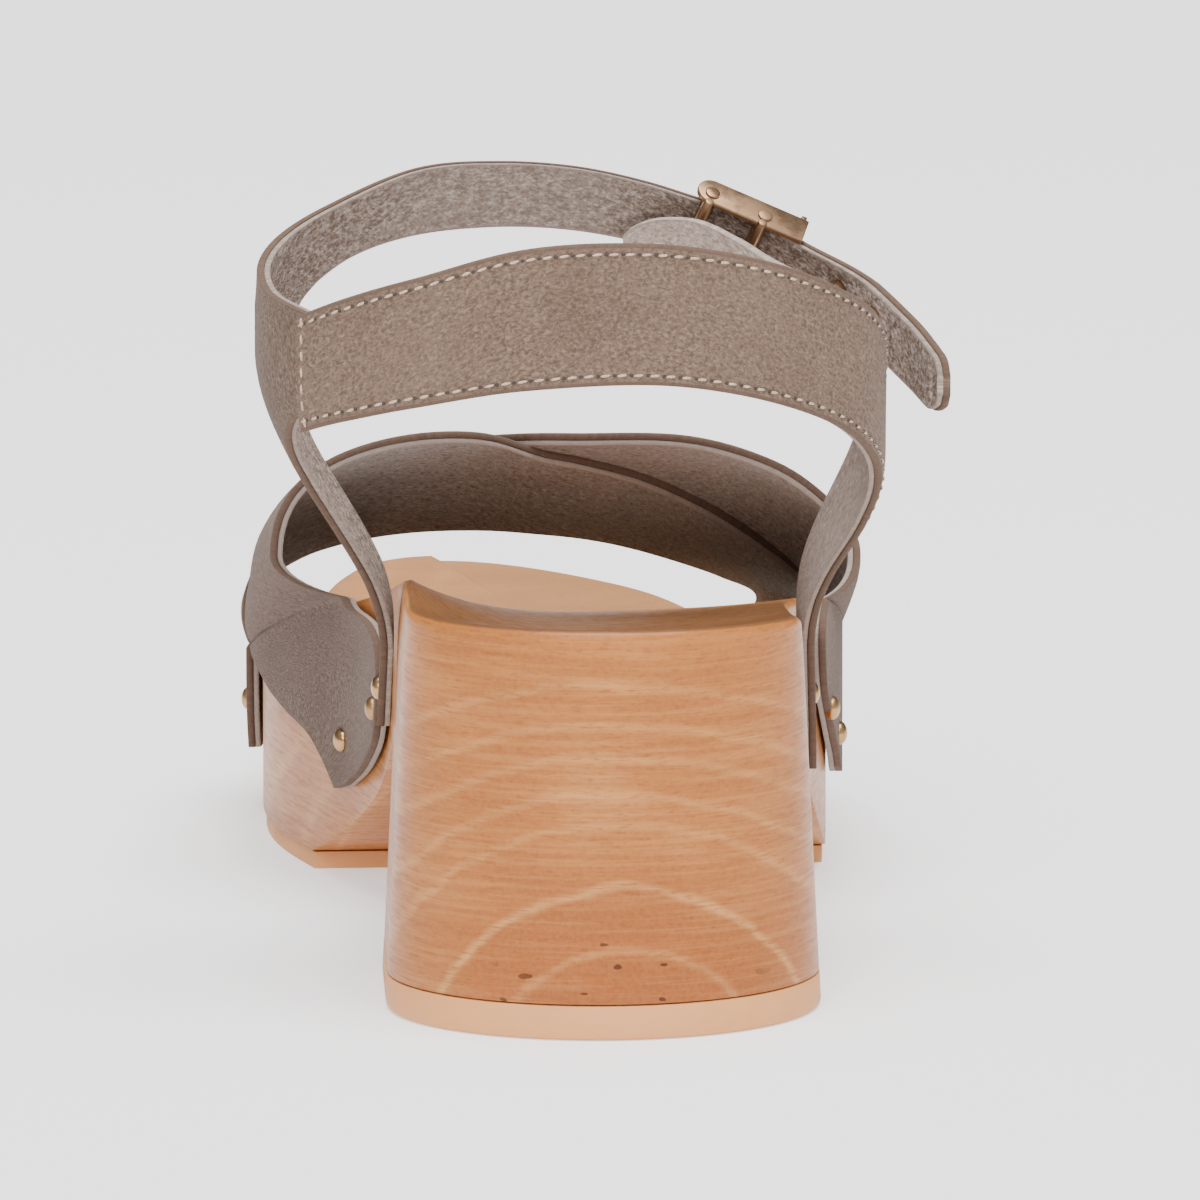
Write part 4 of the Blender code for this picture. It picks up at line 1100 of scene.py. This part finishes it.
# Ankle strap
# One long piece of suede rises from the inner side of the sole, turns round the
# front of the ankle, runs through the buckle and ends free at the outer side,
# with two punched holes rimmed in brass. A napped lining covers its inside.
ANKLE_STRAP = [Station(*row) for row in (
    (-138, 0.310, -122, 0.310, 0.0),
    (-139, 0.390, -119, 0.390, 0.0),
    (-134, 0.480, -112, 0.467, 0.0),
    (-125, 0.570, -100, 0.560, 0.0),
    (-118, 0.670, -90, 0.655, 0.0),
    (-119, 0.750, -68, 0.752, 0.0),
    (-121, 0.800, -50, 0.792, 0.0),
    (-122, 0.828, -54, 0.880, 0.0),
    (-124, 0.848, -80, 0.905, 0.0),
    (-129, 0.866, -103, 0.936, 0.0),
    (-138, 0.896, -125, 0.972, 0.0),
    (-151, 0.915, -146, 1.012, 0.0),
    (-168, 0.921, -166, 1.016, 0.0),
    (-183, 0.913, -183, 1.007, 0.0),
    (-198, 0.892, -198, 0.986, 0.2),
    (-208, 0.870, -208, 0.964, 0.7),
    (-219, 0.846, -219, 0.940, 1.25),
    (-230, 0.822, -230, 0.905, 1.25),
    (-242, 0.795, -242, 0.880, 1.45),
    (-254, 0.762, -254, 0.848, 2.35),
    (-264, 0.741, -264, 0.825, 3.4),
    (-269, 0.734, -269, 0.814, 4.1),
    (-272, 0.740, -273, 0.803, 4.6),
    (-274, 0.755, -274, 0.787, 4.8),
)]
EYELET_STATIONS = (17.5, 18.35)
BUCKLE_STATION = 15.50
BUCKLE_TILT = radians(8)
BUCKLE_DROP = 0.0010

ankle_suede = suede("ankle_strap_suede", (0.130, 0.088, 0.066), (0.075, 0.049, 0.035),
                    (0.202, 0.146, 0.112), OUTER_EDGE, 1700, 1.05, 0.8, 0.0004, 0.5)
ankle_lining = suede("ankle_strap_lining", (0.275, 0.208, 0.170), (0.120, 0.086, 0.067),
                     (0.500, 0.425, 0.372), RAW_EDGE, 1600, 1.5, 0.7, 0.0006, 0.9, 0.4)
ankle_outer = strap_layer("ankle_strap_outer", ANKLE_STRAP, ankle_spot, LINING_THICKNESS, STRAP_THICKNESS,
                          0.0, ankle_suede)
ankle_inner = strap_layer("ankle_strap_lining", ANKLE_STRAP, ankle_spot, 0.0, LINING_THICKNESS,
                          LINING_INSET, ankle_lining)
for piece in (ankle_outer, ankle_inner):
    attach(piece, "root")
    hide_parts("ankle_strap")

# Buckle strap
# A short suede strap is sewn inside the outer side of the heel band and holds
# the buckle. Its end is cut to a round and shows under the buckle.
BUCKLE_STRAP = [Station(*row) for row in (
    (52, 0.860, 52, 0.782, -1.30),
    (70, 0.848, 70, 0.770, -1.30),
    (90, 0.842, 90, 0.762, -1.30),
    (110, 0.855, 110, 0.772, -1.50),
    (131, 0.889, 131, 0.806, -2.20),
    (140, 0.918, 140, 0.830, -2.50),
    (149, 0.942, 149, 0.852, -2.50),
    (158, 0.943, 158, 0.866, -2.40),
    (164, 0.931, 164, 0.878, -2.30),
    (167, 0.915, 167, 0.894, -2.30),
)]
buckle_suede = suede("buckle_strap_suede", (0.480, 0.390, 0.335), (0.250, 0.190, 0.155),
                     (0.680, 0.600, 0.550), RAW_EDGE, 1500, 1.15, 0.6, 0.0006, 0.7, 0.3)
buckle_strap = strap_layer("buckle_strap_suede", BUCKLE_STRAP, ankle_spot, 0.0, STRAP_THICKNESS,
                           0.0, buckle_suede)
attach(buckle_strap, "root")
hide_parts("buckle_strap")

# Nails
# Ten round brass nails hold the strap ends to the wood. Each is turned with a
# low domed head and driven through the leather into the side of the sole.
NAIL_WIDTH = 0.0042
NAIL_HEIGHT = 0.0014
NAIL_BRASS = (0.44, 0.26, 0.12)
WORN_SHARE = 0.62
Nail = namedtuple("Nail", "side along drop")
NAILS = [Nail(*row) for row in (
    (-1, 0.368, 0.489),
    (-1, 0.481, 0.561),
    (1, 0.476, 0.425),
    (1, 0.536, 0.500),
    (-1, 0.785, 0.239),
    (-1, 0.828, 0.235),
    (1, 0.785, 0.222),
    (1, 0.828, 0.206),
    (-1, 0.266, 0.416),
    (1, 0.280, 0.343),
)]


def brass_material(name, colour, roughness):
    made, tree, shader = plain_material(name, colour, roughness)
    shader.inputs["Metallic"].default_value = 1.0
    place = tree.nodes.new("ShaderNodeTexCoord").outputs["Object"]
    brush = stretched_noise(tree, place, (900, 900, 5200), 3, 0.6, 2.0)
    wear = stretched_noise(tree, place, (260, 260, 260), 3, 0.6, 6.0)
    worn = tuple(value * WORN_SHARE for value in colour)
    tone = mix_node(tree, step_range(tree, wear, 0.45, 0.75, 0.0, 0.45), colour, worn)
    tree.links.new(tone, shader.inputs["Base Color"])
    tree.links.new(step_range(tree, wear, 0.35, 0.7, roughness - 0.06, roughness + 0.16),
                   shader.inputs["Roughness"])
    add_bump(tree, brush, 0.12, 0.0001)
    return made


nail_brass = brass_material("nail_brass", NAIL_BRASS, 0.3)


def nail_tree():
    """A domed head on each point, turned to stand out of the leather"""
    sizes = {"Width": NAIL_WIDTH, "Height": NAIL_HEIGHT}
    tree, into, put, stand, size = bead_tree("nailed_heads", sizes, "Brass", 28, 16)
    points = tree.nodes.new("GeometryNodeMeshToPoints")
    link = tree.links.new
    link(into.outputs["Geometry"], points.inputs["Mesh"])
    link(points.outputs["Points"], put.inputs["Points"])
    link(stand.outputs["Rotation"], put.inputs["Rotation"])
    link(into.outputs["Width"], size.inputs["X"])
    link(math_node(tree, "MULTIPLY", into.outputs["Height"], 2.0), size.inputs["Z"])
    return tree


def nail_spot(nail):
    y = at_share(nail.along)
    z = rim(y, nail.side) - nail.drop * WALL_DROP

    def wall(y):
        lift = CURVED_GAP + STRAP_THICKNESS
        return Vector((middle(y) + nail.side * (half_width(y) + flare(y, z) + lift), y, z))

    along = (wall(y + NAIL_WIDTH / 2) - wall(y - NAIL_WIDTH / 2)).normalized()
    return wall(y), Vector((along.y, -along.x, 0)) * nail.side


nails = seam_path("brass_nails", [nail_spot(nail) for nail in NAILS])
run_tree(nails, nail_tree(), Width=NAIL_WIDTH, Height=NAIL_HEIGHT, Brass=nail_brass)
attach(nails, "root")
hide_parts(*[f"nail_{number}" for number in range(1, len(NAILS) + 1)])

# Eyelets
# Small brass tubes line the two holes of the free end. Each is rolled over to a
# flange on the outside.
EYELET_HOLE = 0.0028
EYELET_WALL = 0.0004
EYELET_FLANGE = 0.0012
EYELET_LIP = 0.0005
EYELET_SIDES = 40
BUCKLE_BRASS = (0.31, 0.19, 0.11)

brass = brass_material("buckle_brass", BUCKLE_BRASS, 0.30)


def strap_place(station, share=0.5):
    """Middle of the ankle strap's wall, with the way along it and out of it"""

    def at(number, across):
        return ankle_spot(table_row(ANKLE_STRAP, number), across, STRAP_THICKNESS / 2)

    here = at(station, share)
    along = (at(station + 0.1, share) - at(station - 0.1, share)).normalized()
    across = (at(station, share + 0.1) - at(station, share - 0.1)).normalized()
    out = along.cross(across).normalized()
    if out.dot(here - Vector((ANKLE_MIDDLE_X, ANKLE_MIDDLE_Y, here.z))) < 0:
        out = -out
    return here, along, out


def turned(name, profile, matrix, finish):
    """A closed profile of radius and height spun round its axis"""
    work = bmesh.new()
    turns = [2 * pi * k / EYELET_SIDES for k in range(EYELET_SIDES)]
    rings = [[work.verts.new((radius * cos(turn), radius * sin(turn), height)) for turn in turns]
             for radius, height in profile]
    for low, high in zip(rings, rings[1:] + rings[:1]):
        for k in range(EYELET_SIDES):
            n = (k + 1) % EYELET_SIDES
            work.faces.new((low[k], low[n], high[n], high[k]))
    bmesh.ops.transform(work, matrix=matrix, verts=work.verts)
    bmesh.ops.recalc_face_normals(work, faces=work.faces)
    piece = new_piece(name, work, finish)
    shade(piece, 50)
    return piece


for number, station in enumerate(EYELET_STATIONS, 1):
    here, _, out = strap_place(station)
    bore, wall = EYELET_HOLE / 2, EYELET_WALL
    half = STRAP_THICKNESS / 2
    flange = bore + wall + EYELET_FLANGE
    roll = bore + wall + EYELET_FLANGE / 2
    profile = [(bore, -half - EYELET_LIP), (bore + wall, -half - EYELET_LIP * 1.2),
               (roll, -half - EYELET_LIP), (roll, -half),
               (bore + wall, -half), (bore + wall, half), (flange, half), (flange, half + EYELET_LIP * 0.4),
               (flange - EYELET_LIP * 0.4, half + EYELET_LIP * 0.9), (bore + wall, half + EYELET_LIP * 1.1),
               (bore, half + EYELET_LIP * 0.6)]
    stand = Matrix.Translation(here) @ out.to_track_quat("Z", "Y").to_matrix().to_4x4()
    eyelet = turned(f"brass_eyelet_{number}", profile, stand, brass)
    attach(eyelet, "root")
    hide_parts(f"eyelet_{number}")

# Buckle
# A small box buckle of pale brass. Two cheeks lie along the strap's edges, two
# bars hold them apart behind the strap, and a flat keeper bridges them outside.
BUCKLE_LENGTH = 0.0200
BUCKLE_PLAY = 0.0014
BUCKLE_DEPTH = 0.0054
BUCKLE_METAL = 0.001
BUCKLE_SHIFT = -0.0006
BUCKLE_MIDDLE = 0.0025
AXLE_WIDTH = 0.0016
PRONG_WIDTH = 0.0013
PRONG_STEP = 0.0014
RIVET_WIDTH = 0.0026
BAR_SIDES = 24

buckle_spot, buckle_along, buckle_out = strap_place(BUCKLE_STATION)
buckle_up = buckle_along.cross(buckle_out)
buckle_place = Matrix((buckle_along, buckle_out, buckle_up)).transposed().to_4x4()
buckle_place.translation = buckle_spot - buckle_up * BUCKLE_DROP
buckle_place @= Matrix.Rotation(BUCKLE_TILT, 4, "Y")
upper_edge, _, _ = strap_place(BUCKLE_STATION, 0.0)
lower_edge, _, _ = strap_place(BUCKLE_STATION, 1.0)
INSIDE = (upper_edge - lower_edge).length / 2 + BUCKLE_PLAY
OUTSIDE = INSIDE + BUCKLE_METAL
BUCKLE_WALL = STRAP_THICKNESS / 2 + 4 * JOINT_GAP


def curve_away(x):
    return x * x / ANKLE_WIDTH


def cheek(work, low, high):
    """Flat plate along one edge of the strap, round at its front end"""
    end, deep = BUCKLE_LENGTH / 2, BUCKLE_DEPTH / 2
    outline = [(end, -deep), (end, deep)]
    for turn in range(90, 271, 10):
        angle = radians(turn)
        outline.append((-end + deep + deep * cos(angle), deep * sin(angle)))
    push(work, [(x, y + BUCKLE_SHIFT, low) for x, y in outline], (0, 0, high - low))


def bar(work, width, place):
    """A round bar across the buckle"""
    bmesh.ops.create_cone(work, cap_ends=True, segments=BAR_SIDES, radius1=width / 2, radius2=width / 2,
                          depth=2 * OUTSIDE + AXLE_WIDTH / 2, matrix=Matrix.Translation(place))


work = bmesh.new()
cheek(work, INSIDE, OUTSIDE)
cheek(work, -OUTSIDE, -INSIDE)
end = BUCKLE_LENGTH / 2
for x in (BUCKLE_DEPTH / 2 - end, BUCKLE_MIDDLE):
    y = -BUCKLE_WALL - AXLE_WIDTH / 2 - curve_away(x)
    bar(work, AXLE_WIDTH, (x, y, 0))
    bar(work, RIVET_WIDTH, (x, BUCKLE_SHIFT * 2, 0))
x = end - BUCKLE_METAL
y = BUCKLE_WALL + BUCKLE_METAL - curve_away(x)
keeper_size = Matrix.Diagonal((BUCKLE_METAL, BUCKLE_METAL * 1.6, 2 * INSIDE + BUCKLE_METAL, 1))
keeper = Matrix.Translation((x, y, 0)) @ keeper_size
bmesh.ops.create_cube(work, size=1, matrix=keeper)
bmesh.ops.transform(work, matrix=buckle_place, verts=work.verts)
bmesh.ops.recalc_face_normals(work, faces=work.faces)
buckle = new_piece("brass_buckle", work, brass)
soften(buckle, width=0.00022, segments=3, angle=40)
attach(buckle, "root")
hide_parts("buckle_frame")

# Prong
# A round wire hooks on the middle bar, comes up through the strap's hole and
# rests on the front bar.
hole_at = BUCKLE_MIDDLE - AXLE_WIDTH / 2 - PRONG_WIDTH
over = BUCKLE_WALL + PRONG_WIDTH / 2 + JOINT_GAP
route = [(hole_at, -BUCKLE_WALL), (hole_at, BUCKLE_WALL * 0.8), (hole_at - PRONG_STEP, over),
         (-end / 2, over - curve_away(end / 2) / 2), (-end + BUCKLE_METAL, over - curve_away(end))]
wire = bpy.data.curves.new("brass_prong", "CURVE")
wire.dimensions = "3D"
wire.bevel_depth = PRONG_WIDTH / 2
wire.bevel_resolution = 5
wire.use_fill_caps = True
line = wire.splines.new("POLY")
line.points.add(len(route) - 1)
for target, (x, y) in zip(line.points, route):
    target.co = (*(buckle_place @ Vector((x, y, 0))), 1)
guide = bpy.data.objects.new("prong_wire", wire)
bpy.context.scene.collection.objects.link(guide)
bpy.context.view_layer.update()
graph = bpy.context.evaluated_depsgraph_get()
work = bmesh.new()
work.from_mesh(bpy.data.meshes.new_from_object(guide.evaluated_get(graph)))
bpy.data.objects.remove(guide)
bmesh.ops.remove_doubles(work, verts=work.verts, dist=0.00001)
bmesh.ops.recalc_face_normals(work, faces=work.faces)
prong = new_piece("brass_prong", work, brass)
shade(prong, 50)
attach(prong, "root")
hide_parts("prong")
